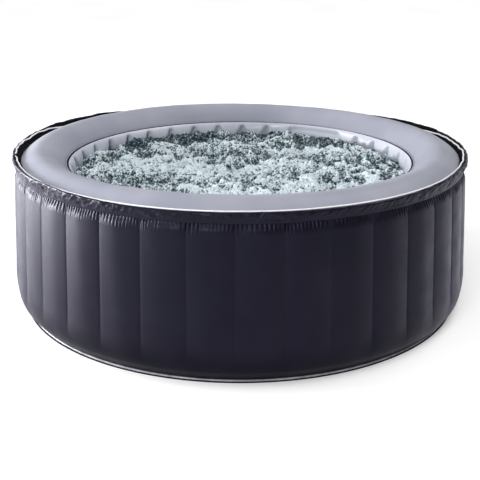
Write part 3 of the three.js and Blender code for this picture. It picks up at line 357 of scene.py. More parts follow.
# %% Jacket piece
COARSE = 36 * 16
SPLIT = 6
FINE = COARSE * SPLIT
SPLIT_Z = 0.575
DRAIN_HOLE, VALVE_HOLE = 0.0155, 0.0175
UNIT_OPENING_HALF, UNIT_OPENING_Z = math.radians(7.31), (0.086, 0.484)
low_z = np.unique(np.concatenate([
    np.linspace(0.0068, 0.075, 13), np.linspace(0.0865, 0.4835, 44), np.linspace(0.4935, SPLIT_Z, 10),
]))
column_angle = crowd_to_seams(np.arange(COARSE + 1) * 2 * math.pi / COARSE)
angle, height = np.meshgrid(column_angle, low_z)
angle, height, drain_gap = open_round(angle, height, WALL, DRAIN_ANGLE, DRAIN_Z, DRAIN_HOLE)
angle, height, valve_gap = open_round(angle, height, WALL, VALVE_ANGLE, VALVE_Z, VALVE_HOLE)
unit_columns = np.abs((column_angle[:-1] + column_angle[1:]) / 2 - UNIT_ANGLE) < UNIT_OPENING_HALF
unit_rows = (low_z[:-1] > UNIT_OPENING_Z[0]) & (low_z[1:] < UNIT_OPENING_Z[1])
unit_gap = unit_columns[None, :] & unit_rows[:, None]
angle, height = angle[:, :-1], height[:, :-1]
low_points = turned(angle, jacket_radius(angle, height), height)
low_faces = squares(len(low_z), COARSE)[~(drain_gap | valve_gap | unit_gap)]

top_z = np.concatenate([[SPLIT_Z + 0.008], np.linspace(0.5865, WALL_TOP, 15)])
fine_angle = crowd_to_seams(round_steps(FINE))
angle, height = np.meshgrid(fine_angle, top_z)
top_points = turned(angle, jacket_radius(angle, height), height)
top_faces = squares(len(top_z), FINE).reshape(-1, 4) + low_points[..., 0].size

last_row = (len(low_z) - 1) * COARSE + np.arange(COARSE)
above = low_points[..., 0].size + (SPLIT * np.arange(COARSE)[:, None] + np.arange(SPLIT, -1, -1)) % FINE
joining = np.column_stack([last_row, np.roll(last_row, -1), above])
jacket, _ = piece(
    "quilted_jacket",
    np.concatenate([low_points.reshape(-1, 3), top_points.reshape(-1, 3)]),
    [*low_faces.tolist(), *joining.tolist(), *top_faces.tolist()],
    ["outer_wall"],
)

# %% [markdown]
# ## The loose band and its soft lip
#
# Above the gathers a plain band of the same laminate runs up to the rim and turns over a soft
# roll. At the left and the right the roll stands proud of the silver like a collar; at the front
# and the back it lies lower, level with the silver's edge. It is not stretched, so it waves a
# little and creases at a slant. Its cross-section is one closed smooth curve through a few
# points. There are two such curves, proud and low, and the piece blends from one to the other as
# it goes round.


# %% Band and lip piece
def smooth_loop(points, samples):
    """A closed Catmull-Rom curve: a cubic through each two points, aimed by their neighbours."""
    points = np.asarray(points, float)
    at = np.linspace(0, len(points), samples, endpoint=False)
    k, t = np.floor(at).astype(int), (at % 1)[:, None]
    p0, p1, p2, p3 = (points[(k + step) % len(points)] for step in (-1, 0, 1, 2))
    square, cube = 2 * p0 - 5 * p1 + 4 * p2 - p3, 3 * p1 - p0 - 3 * p2 + p3
    return 0.5 * (2 * p1 + (p2 - p0) * t + square * t**2 + cube * t**3)


PROUD_LIP = [
    (1.0030, 0.6262), (1.0052, 0.6290), (1.0085, 0.6420), (1.0132, 0.6560), (1.0178, 0.6700),
    (1.0196, 0.6790), (1.0185, 0.6850), (1.0155, 0.6868), (1.0115, 0.6845), (1.0060, 0.6775),
    (0.9985, 0.6695), (0.9920, 0.6635), (0.9902, 0.6612), (0.9935, 0.6590), (1.0010, 0.6585),
    (1.0060, 0.6530), (1.0050, 0.6400), (1.0020, 0.6290),
]
LOW_LIP = [
    (1.0030, 0.6262), (1.0052, 0.6290), (1.0074, 0.6380), (1.0096, 0.6480), (1.0108, 0.6570),
    (1.0106, 0.6630), (1.0088, 0.6672), (1.0055, 0.6694), (1.0020, 0.6698), (0.9985, 0.6690),
    (0.9950, 0.6668), (0.9915, 0.6638), (0.9902, 0.6612), (0.9930, 0.6590), (0.9985, 0.6580),
    (1.0030, 0.6530), (1.0035, 0.6400), (1.0015, 0.6290),
]


def proud_share(angle):
    """1 where the lip stands proud, at the far left and right, and 0 at the front and the back."""
    off_left = np.abs(np.mod(angle, 2 * math.pi) - math.radians(177))
    off_right = np.abs(np.mod(angle + math.pi, 2 * math.pi) - math.pi - math.radians(6))
    return np.maximum(1 - span(0.60, 1.25, off_left), 1 - span(0.50, 1.10, off_right))


def raised(angle):
    """The lip is pulled up by as much as 11 mm round one side, the left of the back."""
    return 0.011 * np.exp(4 * (np.cos(angle - math.radians(146)) - 1))


LIP_COLUMNS, LIP_ROWS = 1800, 54
proud_loop, low_loop = smooth_loop(PROUD_LIP, LIP_ROWS), smooth_loop(LOW_LIP, LIP_ROWS)
angle, _ = np.meshgrid(round_steps(LIP_COLUMNS), proud_loop[:, 0])
share = proud_share(angle)
profile_r = share * proud_loop[:, :1] + (1 - share) * low_loop[:, :1]
profile_z = share * proud_loop[:, 1:] + (1 - share) * low_loop[:, 1:]
outward = span(0.996, 1.010, profile_r)
loose = outward * span(0.628, 0.648, profile_z)
turns = angle / (2 * math.pi)
rise = (profile_z - BAND_BASE) + 0.4 * (profile_r - 1)
wave_out = loose * (
    ripple(angle, 0, (9, 14, 19, 26), 0.0016, 5)
    + 0.0058 * (value_noise(192 * turns + 30 * rise, 40 * rise, 51) - 0.5)
    + 0.0042 * (value_noise(448 * turns - 60 * rise, 70 * rise, 52) - 0.5)
    + 0.0018 * (value_noise(896 * turns, 150 * rise, 53) - 0.5)
)
wave_up = outward * span(0.65, 0.675, profile_z) * (
    (0.35 + 0.65 * share) * ripple(angle, 0, (5, 8, 13, 21, 34), 0.0030, 8)
    + ripple(angle, 0, (57, 91), 0.0007, 9) + raised(angle)
)
lip_points = turned(angle, profile_r + wave_out, profile_z + wave_up)
lip, _ = piece("loose_band_lip", lip_points, squares(*angle.shape, loop_profile=True).reshape(-1, 4),
               ["hem_band"])
CREST_ROW, FOLD_ROW = 24, 40  # the lip's inner face runs from its crest down to the inner fold
lip_row = np.arange(LIP_ROWS)
lip_inside = np.repeat((lip_row >= CREST_ROW) & (lip_row < FOLD_ROW), LIP_COLUMNS)

# %% [markdown]
# ## Cords, welts and the foot bead
#
# A welt is a cord wrapped in vinyl and trapped in a seam. It is a circle carried along a closed
# path: each point is the path's point plus the cord's radius times a mix of the outward and the
# upward direction. The white cord is real piping at the silver's edge; at the sides, where the lip
# rolls out, it leaves the silver's edge and lies on the lip as a painted highlight on the lip's fold.


# %% Cord pieces
def cord_loop(path_radius, path_z, thickness, columns, sides=12):
    """A tube round a closed path given by its radius and height at each column."""
    side = round_steps(sides)[:, None]
    radius = path_radius + thickness * np.cos(side)
    height = path_z + thickness * np.sin(side)
    points = turned(round_steps(columns)[None, :], radius, height)
    return points, squares(sides, columns, loop_profile=True).reshape(-1, 4)


CORD, WELT, BEAD = 0.0038, 0.0027, 0.0042  # radii of the three cords
RIM_CORD_COLUMNS, CORD_COLUMNS = 1440, 1080


def side_highlight_share(angle):
    """How far the white cord stands off the silver, from 0 to 1: only at the far left and right, where
    the cord is a painted highlight on the lip's fold.
    """
    off_left = np.abs(np.mod(angle, 2 * math.pi) - math.radians(178))
    off_right = np.abs(np.mod(angle + math.pi, 2 * math.pi) - math.pi - math.radians(2))
    return np.maximum(1 - span(0.16, 0.62, off_left), 0.75 * (1 - span(0.14, 0.55, off_right)))


# The slope of the lip's inner side, as radius and height, which the cord lies on.
LIP_SLOPE = np.array([
    (0.9868, 0.6668), (0.9920, 0.6680), (0.9985, 0.6738), (1.0060, 0.6812), (1.0115, 0.6878),
])
STAND_OFF = 0.0205
along = round_steps(RIM_CORD_COLUMNS)
stand_off = side_highlight_share(along)
lip_slope = np.interp(0.9872 + STAND_OFF * stand_off, LIP_SLOPE[:, 0], LIP_SLOPE[:, 1])
# Painted highlight: at the sides the white cord runs out over the lip, where a highlight lies on its
# fold.
cord_r = RIM_EDGE + 0.0030 + (STAND_OFF + ripple(along, 0, (13, 29, 47, 71), 0.0052, 21)) * stand_off
cord_z = lip_slope + ripple(along, 0, (11, 17, 39), 0.0014, 22) * (0.25 + stand_off)
cord_z += 0.7 * raised(along) * stand_off
points, faces = cord_loop(cord_r, cord_z, CORD, RIM_CORD_COLUMNS)
rim_cord, _ = piece("rim_white_cord", points, faces, ["rim_piping"])

points, faces = cord_loop(np.full(CORD_COLUMNS, INNER), WELT_Z - 0.0008, WELT, CORD_COLUMNS)
welt, _ = piece("inner_welt_bead", points, faces, ["inner_welt"])

foot_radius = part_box("base_piping")[1].x + 0.0040
points, faces = cord_loop(np.full(CORD_COLUMNS, foot_radius), 0.0050, BEAD, CORD_COLUMNS)
foot_bead, _ = piece("foot_bead", points, faces, ["base_piping"])

# %% [markdown]
# ## The crowned rim
#
# The rim is one wide ring of silver vinyl, and air pressure lifts it into a crown. In
# cross-section it is a straight line between its two welts with a parabola added, and it swells a
# little fuller on one side, as blown-up vinyl does. The bottom of the sheet is a second skin just
# under the first, so the piece is closed and has a real edge.

# %% Rim piece
RIM_STEPS, RIM_COLUMNS = 26, 720
step = np.linspace(0, 1, RIM_STEPS)
rim_inner, rim_outer = INNER + 0.0024, RIM_EDGE
rim_thick = 0.0013
crown_z = WELT_Z + (RIM_EDGE_Z - WELT_Z) * step + 4 * CROWN * step * (1 - step)
across_r = rim_inner + (rim_outer - rim_inner) * step
rim_r = np.concatenate([across_r, across_r[::-1]])
rim_z = np.concatenate([crown_z - rim_thick, crown_z[::-1]])
along_crown = np.concatenate([step, step[::-1]])
angle, height = np.meshgrid(round_steps(RIM_COLUMNS), rim_z)
swell = 4 * along_crown * (1 - along_crown)
lift = swell[:, None] * (
    ripple(angle, 0, (3, 5, 7, 11), 0.0013, 31)
    + ripple(angle, along_crown[:, None] * 4, (17, 23, 36), 0.0006, 32)
) - (1 - along_crown[:, None]) ** 6 * 0.0007 * (1 - between_seams(angle))
lift -= 0.0006 * along_crown[:, None] ** 10 * (1 + np.sin(angle * 108))
lift += 0.013 * swell[:, None] * np.exp(2.0 * (np.cos(angle - math.radians(122)) - 1))
rim, _ = piece("crowned_rim", turned(angle, rim_r[:, None], height + lift),
               squares(*angle.shape, loop_profile=True).reshape(-1, 4), ["top_rim"])

# %% [markdown]
# ## The bathing shell
#
# The inner wall is silver vinyl, held at each web and swelling inwards between them. The webs
# stop short of the top, so above them the vinyl swells evenly, and where each web ends it is
# drawn into a small triangular dimple. Behind the built-in unit it is flat. The swell is a
# profile in height times one minus a notch; the notch reaches half a panel to each side below, and
# narrows and fades out above the web's end.


# %% Shell shape and piece
SHELL_BULGE = 0.0170
SWELL_FULL_Z = 0.565  # above it the swell rounds off to nothing at the welt
FLAT_X = INNER * math.cos(WEB_ANGLE)


def shell_radius(angle, z):
    """Seam radius less the swell, with a notch at each web that narrows and fades at its top."""
    away = np.abs(np.mod(angle / WEB_ANGLE + 0.5, 1) - 0.5) * WEB_ANGLE * INNER
    half_panel = WEB_ANGLE * INNER / 2
    width = half_panel * (1 - 0.72 * span(0.520, 0.612, z))
    depth = 1 - span(0.596, 0.624, z)
    notch = depth * np.clip(1 - away / width, 0, 1) ** (1.1 + 0.9 * (1 - span(0.40, 0.53, z)))
    to_welt = np.clip(z - SWELL_FULL_Z, 0, 1) / (WELT_Z - SWELL_FULL_Z)
    swell = span(0.072, 0.096, z) * np.sqrt(np.clip(1 - to_welt**2, 0, 1))
    near_unit = 0.45 + 0.55 * span(1.0, 3.0, np.abs(angle - UNIT_ANGLE) / WEB_ANGLE)
    full = (SHELL_BULGE + 0.016 * span(0.40, 0.53, z)) * near_unit
    round_wall = INNER - full * swell * (1 - notch)
    off = angle - UNIT_ANGLE
    flat_wall = FLAT_X / np.cos(np.clip(off, -1.2 * WEB_ANGLE, 1.2 * WEB_ANGLE))
    flat_share = span(0.0, 0.075, z) * (1 - span(0.545, 0.625, z))
    in_bay = np.abs(off) < WEB_ANGLE * 0.9999
    bay_wall = INNER + (flat_wall - INNER) * flat_share - full * swell * (1 - depth)
    return np.where(in_bay, bay_wall, round_wall)


SHELL_DRAIN_HOLE = 0.0150
shell_z = np.concatenate([np.linspace(0.0021, 0.52, 36), np.linspace(0.5275, WELT_Z - 0.0032, 22)])
column_angle = np.arange(COARSE + 1) * 2 * math.pi / COARSE
angle, height = np.meshgrid(column_angle, shell_z)
angle, height, gap = open_round(angle, height, INNER, DRAIN_ANGLE, DRAIN_Z, SHELL_DRAIN_HOLE)
# Sideways from the unit's middle, height and radius: the suction, the return and the air pipe.
PIPE_HOLES = [(-0.050, 0.200, 0.0170), (0.060, 0.305, 0.0170), (0.11318, 0.115, 0.0108)]
for sideways, z, radius in PIPE_HOLES:
    hole_angle = UNIT_ANGLE + math.atan2(sideways, FLAT_X)
    angle, height, more = open_round(angle, height, INNER, hole_angle, z, radius)
    gap = gap | more
angle, height = angle[:, :-1], height[:, :-1]
shell_faces = squares(*angle.shape)[~gap][:, ::-1]
shell, _ = piece("bathing_shell", turned(angle, shell_radius(angle, height), height), shell_faces,
                 ["inner_wall"])

# %% [markdown]
# ## Floor, foot ring and bubble channel
#
# The floor is two flat sheets: the silver one that bathers stand on and a dark ring under the air
# chamber. They lie on the ground, so they are discs with a thickness and faint embossed rings. The
# bubble channel is a vinyl tunnel welded round the foot of the shell; air leaves it by small
# holes. It is an arch carried round the shell's own radius.

# %% Floor pieces
FLAT_COLUMNS = 360


def flat_ring(name, inner, outer, top, steps, replaces, emboss):
    """A closed ring or disc: up its rim and across its top, which is embossed, then across its base."""
    share = np.linspace(0, 1, steps)
    angle, radius = np.meshgrid(round_steps(FLAT_COLUMNS), outer + (inner - outer) * share)
    pattern = np.maximum(0, np.sin(radius * 105)) * emboss * np.sin(np.pi * share)[:, None]
    z_top = top - emboss + pattern
    z_low = np.zeros_like(z_top)
    rows = np.concatenate([turned(angle, radius, z_top), turned(angle, radius, z_low)[::-1]])
    faces = squares(2 * steps, FLAT_COLUMNS, loop_profile=True).reshape(-1, 4)
    return piece(name, rows, faces, replaces)[0]


floor_high, ring_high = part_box("floor_sheet")[1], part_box("base_ring")[1]
foot_outer = ring_high.x + 0.0165
bathing_floor = flat_ring("bathing_floor", 0.0004, floor_high.x, floor_high.z, 60,
                          ["floor_sheet"], 0.0005)
foot_ring = flat_ring("foot_ring", floor_high.x + 0.0006, foot_outer, ring_high.z, 16,
                      ["base_ring"], 0.0004)

CHANNEL_Z, CHANNEL_HALF, CHANNEL_DEEP = 0.115, 0.0195, 0.0255
up = np.linspace(-1, 1, 15)
arch_in = CHANNEL_DEEP * np.clip(1 - np.abs(up) ** 2.2, 0, 1) + 0.0008
angle, rise = np.meshgrid(round_steps(COARSE), CHANNEL_Z + CHANNEL_HALF * up)
back = shell_radius(angle, rise)
ribs = 0.0005 * np.sin(angle * 360) * np.clip(1 - np.abs(up[:, None]) ** 2, 0, 1)
front_skin = turned(angle, back - arch_in[:, None] - ribs, rise)
back_skin = turned(angle, back - arch_in[:, None] + 0.0006, rise)[::-1]
channel_points = np.concatenate([front_skin[::-1], back_skin[::-1]])
channel_faces = squares(2 * len(up), COARSE, loop_profile=True).reshape(-1, 4)
channel, _ = piece("bubble_tunnel", channel_points, channel_faces, ["bubble_channel"])

# %% [markdown]
# ## The cut sheets
#
# The tub is welded from flat cuts of vinyl and laminate. A round wall is cut as one long strip: its
# length is the wall's girth and its width is the wall's height measured along the surface. The rim
# and the foot ring are cut in arcs that add up to a strip of the same area. The floor is a disc.

# %% Sheets
print("cut sheets: walls, rim, foot ring and floor")

# %% [markdown]
# ## The water
#
# With the blower on, the water is a field of breaking bubbles: low mounds a hand wide, sharp
# little crests on them, white foam on the crests and dark teal water between. The surface is a
# square grid bent into a disc, which keeps its cells the same size everywhere. Its height adds
# ridged noise at four sizes; a ridge is one minus the distance of smooth noise from its middle,
# which gives sharp crests and round troughs. A flat skin below closes the piece.

# %% Water piece
WATER_Z = 0.566  # its mean level
WATER_UNDER = WATER_Z - 0.034
WATER_GAP = 0.0012  # between the water and the shell
WATER_CELLS = 288
side = np.linspace(-1, 1, WATER_CELLS + 1)
a, b = np.meshgrid(side, side)
wide = np.abs(a) > np.abs(b)
reach = np.where(wide, a, b)
other = np.where(wide, b, a)
bend = np.pi / 4 * other / np.where(np.abs(reach) < 1e-9, 1, reach)
x = np.where(wide, reach * np.cos(bend), reach * np.sin(bend))
y = np.where(wide, reach * np.sin(bend), reach * np.cos(bend))
share = np.hypot(x, y)
angle = np.mod(np.arctan2(y, x), 2 * math.pi)
rim_of_water = shell_radius(angle, np.full_like(angle, WATER_Z)) - WATER_GAP
WATER_ROUND = 0.772  # the radius that the rings start from; they take the shell's outline near it
radius = share * (WATER_ROUND + (rim_of_water - WATER_ROUND) * share**8)
x, y = radius * np.cos(angle), radius * np.sin(angle)


def ridged(x, y, size, seed):
    """One less the distance of smooth noise from its middle, sharpened; crests about size apart."""
    return (1 - np.abs(2 * value_noise(x / size + 7.3, y / size + 2.9, seed) - 1)) ** 1.6


drift_x = 0.05 * value_noise(x / 0.11, y / 0.11, 41)
drift_y = 0.05 * value_noise(x / 0.11, y / 0.11, 42)
mounds = value_noise(x / 0.26 + 3, y / 0.17 + 5, 43) - 0.5
boil = ridged(x + drift_x, y + drift_y, 0.085, 44) - 0.45
chop = ridged(0.72 * (x + drift_x), y + drift_y * 1.5, 0.040, 45) - 0.45
spray = ridged(0.80 * x + 0.4 * drift_x, y + 0.6 * drift_y, 0.021, 46) - 0.45
fizz = ridged(x, y, 0.012, 47) - 0.45
calm = 1 - 0.75 * span(0.945, 1.0, share)
heave = 0.036 * mounds + 0.026 * boil + 0.032 * chop + 0.017 * spray + 0.0060 * fizz
water_z = WATER_Z + heave * calm
far_wall = span(0.55, 0.95, share) * np.clip(0.85 * y / 0.78 + 0.40 * np.abs(x) / 0.78, 0, 1)
foam = np.clip(0.40 - 0.48 * far_wall + 0.40 * boil + 0.75 * chop + 0.85 * spray + 0.55 * fizz
               + 0.80 * (value_noise(x / 0.30 + 9, y / 0.16, 48) - 0.5), 0.42 * (1 - far_wall), 1)

number = np.arange((WATER_CELLS + 1) ** 2).reshape(WATER_CELLS + 1, -1)
near, far = number[:-1], number[1:]
water_faces = np.stack([near[:, :-1], near[:, 1:], far[:, 1:], far[:, :-1]], -1).reshape(-1, 4)
border = np.concatenate([number[0, :-1], number[:-1, -1], number[-1, :0:-1], number[:0:-1, 0]])
count = number.size
under_angle, under_z = angle.ravel()[border], np.full(len(border), WATER_UNDER)
shell_there = shell_radius(under_angle, under_z) - WATER_GAP
under = turned(under_angle, np.minimum(radius.ravel()[border], shell_there), under_z)
below = count + np.arange(len(border))
skirt = np.stack([np.roll(border, -1), border, below, np.roll(below, -1)], -1)
bottom = below[::-1]
water_points = np.concatenate([np.stack([x, y, water_z], -1).reshape(-1, 3), under])
water, used = piece("bubbling_water", water_points,
                    [*water_faces.tolist(), *skirt.tolist(), bottom.tolist()])
foam = np.concatenate([foam.ravel(), np.zeros(len(border))])[used]
foam_layer = water.data.attributes.new("foam", "FLOAT", "POINT")
foam_layer.data.foreach_set("value", foam.astype(np.float32))

# %% [markdown]
# ## Finishes
#
# Each finish starts from the real material. The walls read their own direction round the tub
# from Object coordinates with an arctangent, so a thread count that is a whole number meets
# itself at the back.

# %% Finish helpers
THREADS_AROUND, THREADS_PER_METRE = 2100.0, 340  # both 3 mm apart at the wall


def finish(name, base, roughness, **sockets):
    """A new material with a Principled shader; sockets set other inputs by name.

    Where a texture drives the colour or the roughness, base and roughness are the plain values
    that a viewer without shader nodes shows.
    """
    material = bpy.data.materials.new(name)
    material.use_nodes = True
    tree = material.node_tree
    tree.nodes.clear()
    shader = add(tree, "BsdfPrincipled", {"Base Color": linear(base), "Roughness": roughness})
    for key, value in sockets.items():
        shader.inputs[key.replace("_", " ")].default_value = value
    add(tree, "OutputMaterial", {"Surface": shader.outputs[0]})
    place = add(tree, "TexCoord").outputs["Object"]
    return material, tree, shader, place


def mottle(tree, place, scale, detail, low=0.0, high=1.0):
    """Noise, which mostly keeps between 0.35 and 0.65, stretched to run from low to high."""
    noise = add(tree, "TexNoise", {"Vector": place, "Scale": scale, "Detail": detail})
    return add(tree, "MapRange", {"Value": noise.outputs["Fac"], "From Min": 0.35, "From Max": 0.65,
                                  "To Min": low, "To Max": high}).outputs[0]


def tint(tree, shader, factor, dark, light):
    """Base colour that runs from dark to light with a factor."""
    mixed = add(tree, "Mix", {0: factor, 6: linear(dark), 7: linear(light)}, data_type="RGBA")
    tree.links.new(mixed.outputs[2], shader.inputs["Base Color"])


def relief(tree, shader, height, distance, strength=1.0):
    """Bump of a given depth in metres."""
    bump = add(tree, "Bump", {"Height": height, "Distance": distance, "Strength": strength})
    tree.links.new(bump.outputs[0], shader.inputs["Normal"])


def wall_direction(tree, place):
    """Angle round the tub and height, as two sockets."""
    parts = add(tree, "SeparateXYZ", {0: place})
    turn = add(tree, "Math", {0: parts.outputs["Y"], 1: parts.outputs["X"]}, operation="ARCTAN2")
    return turn.outputs[0], parts.outputs["Z"]


def threads(tree, turn, rise):
    """A plain weave: the product of one sine round the tub and one in height, from -1 to 1."""
    sines = []
    for along, count in ((turn, THREADS_AROUND), (rise, THREADS_PER_METRE * 2 * math.pi)):
        phase = add(tree, "Math", {0: along, 1: count}, operation="MULTIPLY").outputs[0]
        sines.append(add(tree, "Math", {0: phase}, operation="SINE").outputs[0])
    return add(tree, "Math", {0: sines[0], 1: sines[1]}, operation="MULTIPLY").outputs[0]


# %% [markdown]
# ### Silver vinyl
#
# The rim, the floor and the shell are calendered PVC sheet: a satin face with a fine leather grain
# of about 1 mm, drawn at 2.5 mm. The bathing shell is the same vinyl drawn lighter, as painted light
# for the light that falls on the inner wall, and glossier. The sheet has no direction of its own, so
# plain noise gives its grain.


# %% Silver vinyl
def calendered(name, base, roughness, specular, tones, rough_range, depth):
    """Satin sheet: tint, roughness patches and a fine leather grain."""
    material, tree, shader, place = finish(name, base, roughness, Specular_IOR_Level=specular)
    tint(tree, shader, mottle(tree, place, 3.5, 2), *tones)
    tree.links.new(mottle(tree, place, 9, 3, *rough_range), shader.inputs["Roughness"])
    relief(tree, shader, mottle(tree, place, 400, 2), depth, 0.35)
    return material


silver = calendered("silver_calendered_vinyl", "#9395A3", 0.40, 0.16, ("#8C8F9C", "#9899A6"),
                    (0.35, 0.47), 0.00012)
# The shell's lighter copy of the silver vinyl is painted light on the inner wall.
lighter_shell_silver = calendered("silver_shell_vinyl", "#ABADBA", 0.28, 0.36, ("#B7BAC7", "#C5C8D4"),
                        (0.22, 0.34), 0.00010)
print("vinyl:", silver.name, lighter_shell_silver.name)

# %% [markdown]
# ### Dark laminate
#
# The jacket is vinyl bonded to polyester cloth: nearly black with a violet cast, a satin shine, and
# the cloth's weave printing through. Threads 1 mm apart are drawn 3 mm apart, so that they show.
# The foot of the wall is turned under, and its shine fades in with height as painted shade, for the
# shade the tub casts on its own foot. The inside of the lip is a dull, nearly black copy of the
# laminate, as painted shade.

# %% Dark laminate
jacket_skin, tree, shader, place = finish("dark_cloth_backed_laminate", "#0B0A11", 0.42,
                                          Sheen_Roughness=0.35)
shader.inputs["Sheen Tint"].default_value = linear("#827CD0")
shader.inputs["Specular Tint"].default_value = linear("#B9B6E6")
tint(tree, shader, mottle(tree, place, 5, 3), "#09090F", "#0F0E16")
tree.links.new(mottle(tree, place, 12, 3, 0.36, 0.46), shader.inputs["Roughness"])
turn, rise = wall_direction(tree, place)
# Painted shade: specular and sheen are turned down towards the foot, where the tub shades the ground
# and itself.
for socket, shade_at_foot, above in (("Specular IOR Level", 0.05, 0.24), ("Sheen Weight", 0.0, 0.17)):
    ramp = add(tree, "MapRange", {"Value": rise, "From Min": 0.015, "From Max": 0.16,
                                  "To Min": shade_at_foot, "To Max": above})
    tree.links.new(ramp.outputs[0], shader.inputs[socket])
weave = threads(tree, turn, rise)
grain = mottle(tree, place, 260, 3, -0.6, 0.6)
relief(tree, shader, add(tree, "Math", {0: weave, 1: grain}, operation="ADD").outputs[0], 0.00010, 0.5)

# The lip's inner face: the jacket laminate drawn dull and nearly black, as painted shade.
lip_shade_laminate, tree, shader, place = finish("lip_painted_shade_laminate", "#08080B", 0.85,
                                         Specular_IOR_Level=0.08)
tint(tree, shader, mottle(tree, place, 30, 3), "#060608", "#0D0D11")
turn, rise = wall_direction(tree, place)
relief(tree, shader, threads(tree, turn, rise), 0.0002, 0.6)
print("laminate:", jacket_skin.name, lip_shade_laminate.name)

# %% [markdown]
# ### Cords and welts
#
# Extruded vinyl cord is smooth and a little glossy, and its drawing through a die leaves it faintly
# uneven: soft noise 3 mm across gives that, and a wider one lets its tint drift.


# %% Cords and welts
def extruded(name, base, roughness, patch_scale, dark, light):
    """Extruded cord: a drifting tint and a soft, shallow relief."""
    material, tree, shader, place = finish(name, base, roughness)
    tint(tree, shader, mottle(tree, place, patch_scale, 3), dark, light)
    relief(tree, shader, mottle(tree, place, 300, 2), 0.0001, 0.4)
    return material


white_vinyl = extruded("white_extruded_vinyl", "#F4F4F8", 0.32, 40, "#EEEEF4", "#FAFAFC")
welt_vinyl = extruded("silver_welt_vinyl", "#6F707E", 0.34, 30, "#787987", "#8A8B98")
foot_vinyl = extruded("grey_bead_vinyl", "#BDBDC6", 0.4, 30, "#7C7C86", "#A4A4AC")
print("cords:", white_vinyl.name, welt_vinyl.name, foot_vinyl.name)

# %% [markdown]
# ### Water and foam
#
# Water is dark teal and mirror-smooth; air whipped into it turns it pale. The foam amount worked
# out with the shape mixes the two, and white strands of froth run over both, round cells about
# 25 mm across. Real bubbles are 2 to 6 mm across; the finest clouds are drawn at 9 mm. Froth as
# glass and spheres would need millions of faces, so its paleness is a colour.

# %% Water and foam
wet, tree, shader, place = finish("aerated_water", "#4E6A72", 0.12, IOR=1.333, Specular_IOR_Level=0.22)
amount = add(tree, "Attribute", attribute_name="foam").outputs["Fac"]
bent = add(tree, "TexNoise", {"Vector": place, "Scale": 30.0, "Detail": 4.0}).outputs["Color"]
bent = add(tree, "VectorMath", {0: bent, 1: (0.045, 0.045, 0.045)}, operation="MULTIPLY").outputs[0]
bent = add(tree, "VectorMath", {0: place, 1: bent}, operation="ADD").outputs[0]
cell = add(tree, "TexVoronoi", {"Vector": bent, "Scale": 38.0}, feature="DISTANCE_TO_EDGE")
strands = add(tree, "MapRange", {"Value": cell.outputs["Distance"], "From Max": 0.20,
                                 "To Min": 1.0, "To Max": 0.0}).outputs[0]
broken = mottle(tree, place, 90, 4, -0.6, 1.0)
lines = add(tree, "Math", {0: strands, 1: broken}, operation="MULTIPLY", use_clamp=True).outputs[0]
patch = add(tree, "MapRange", {"Value": amount, "From Max": 0.8, "To Min": 0.30}).outputs[0]
lines = add(tree, "Math", {0: lines, 1: patch}, operation="MULTIPLY").outputs[0]

# Cloudiness is the foam amount with its edge broken up; from dark water to cloud to crest to line.
cloudy = mottle(tree, place, 110, 4, -0.34, 0.34)
cloudy = add(tree, "Math", {0: amount, 1: cloudy}, operation="ADD").outputs[0]
cloudy = add(tree, "MapRange", {"Value": cloudy, "From Min": 0.24, "From Max": 0.96},
             interpolation_type="SMOOTHSTEP").outputs[0]
crest = add(tree, "MapRange", {"Value": cloudy, "From Min": 0.55, "From Max": 1.08}).outputs[0]
tone = linear("#1C323C")
for factor, colour in ((cloudy, "#7E98A1"), (crest, "#DCE8EE"), (lines, "#F4F9FC")):
    tone = add(tree, "Mix", {0: factor, 6: tone, 7: linear(colour)}, data_type="RGBA").outputs[2]
tree.links.new(tone, shader.inputs["Base Color"])
gloss = add(tree, "MapRange", {"Value": cloudy, "To Min": 0.08, "To Max": 0.45}).outputs[0]
tree.links.new(gloss, shader.inputs["Roughness"])
relief(tree, shader, add(tree, "Math", {0: lines, 1: cloudy}, operation="ADD").outputs[0], 0.006, 0.7)
print("water:", wet.name)

# %% [markdown]
# ### Mouldings and small parts
#
# ABS mouldings have a spark-eroded grain of about 0.5 mm, drawn at 1.5 mm, with worn patches a
# little smoother. The keys and the seals share the recipe at their own colours and grains. What
# is inside the unit has a finish of its own for each material.


# %% Mouldings
def moulding(name, dark, light, low, high, grain=650, depth=0.00010):
    """Grained plastic: tint, roughness patches and a fine pebbled relief."""
    material, tree, shader, place = finish(name, dark, low)
    tint(tree, shader, mottle(tree, place, 14, 3), dark, light)
    tree.links.new(mottle(tree, place, 25, 3, low, high), shader.inputs["Roughness"])
    relief(tree, shader, mottle(tree, place, grain, 2), depth, 0.5)
    return material


black_abs = moulding("black_grained_abs", "#121317", "#1A1B1F", 0.42, 0.58)
grey_abs = moulding("grey_satin_abs", "#6C6F78", "#7A7D86", 0.34, 0.46, 500, 0.00006)
pale_keys = moulding("pale_silicone_keys", "#CBCCD1", "#DADBDF", 0.42, 0.52, 500, 0.00005)
rubber = moulding("black_seal_rubber", "#17171A", "#202023", 0.62, 0.78, 420, 0.00008)

# %% Small parts
# Pleated polyester paper: matt and off-white, with a soft felt of fibres.
paper, tree, shader, place = finish("pleated_filter_paper", "#E6E5DD", 0.85)
tint(tree, shader, mottle(tree, place, 60, 4), "#DBD9CF", "#EFEEE8")
relief(tree, shader, mottle(tree, place, 220, 3), 0.0003, 0.6)

# Zinc-plated pressed steel: grey metal with a soft shine that changes in patches.
steel, tree, shader, place = finish("zinc_plated_steel", "#A9ABAF", 0.3, Metallic=1.0)
tint(tree, shader, mottle(tree, place, 45, 3), "#8E9095", "#999B9F")
tree.links.new(mottle(tree, place, 60, 3, 0.34, 0.42), shader.inputs["Roughness"])

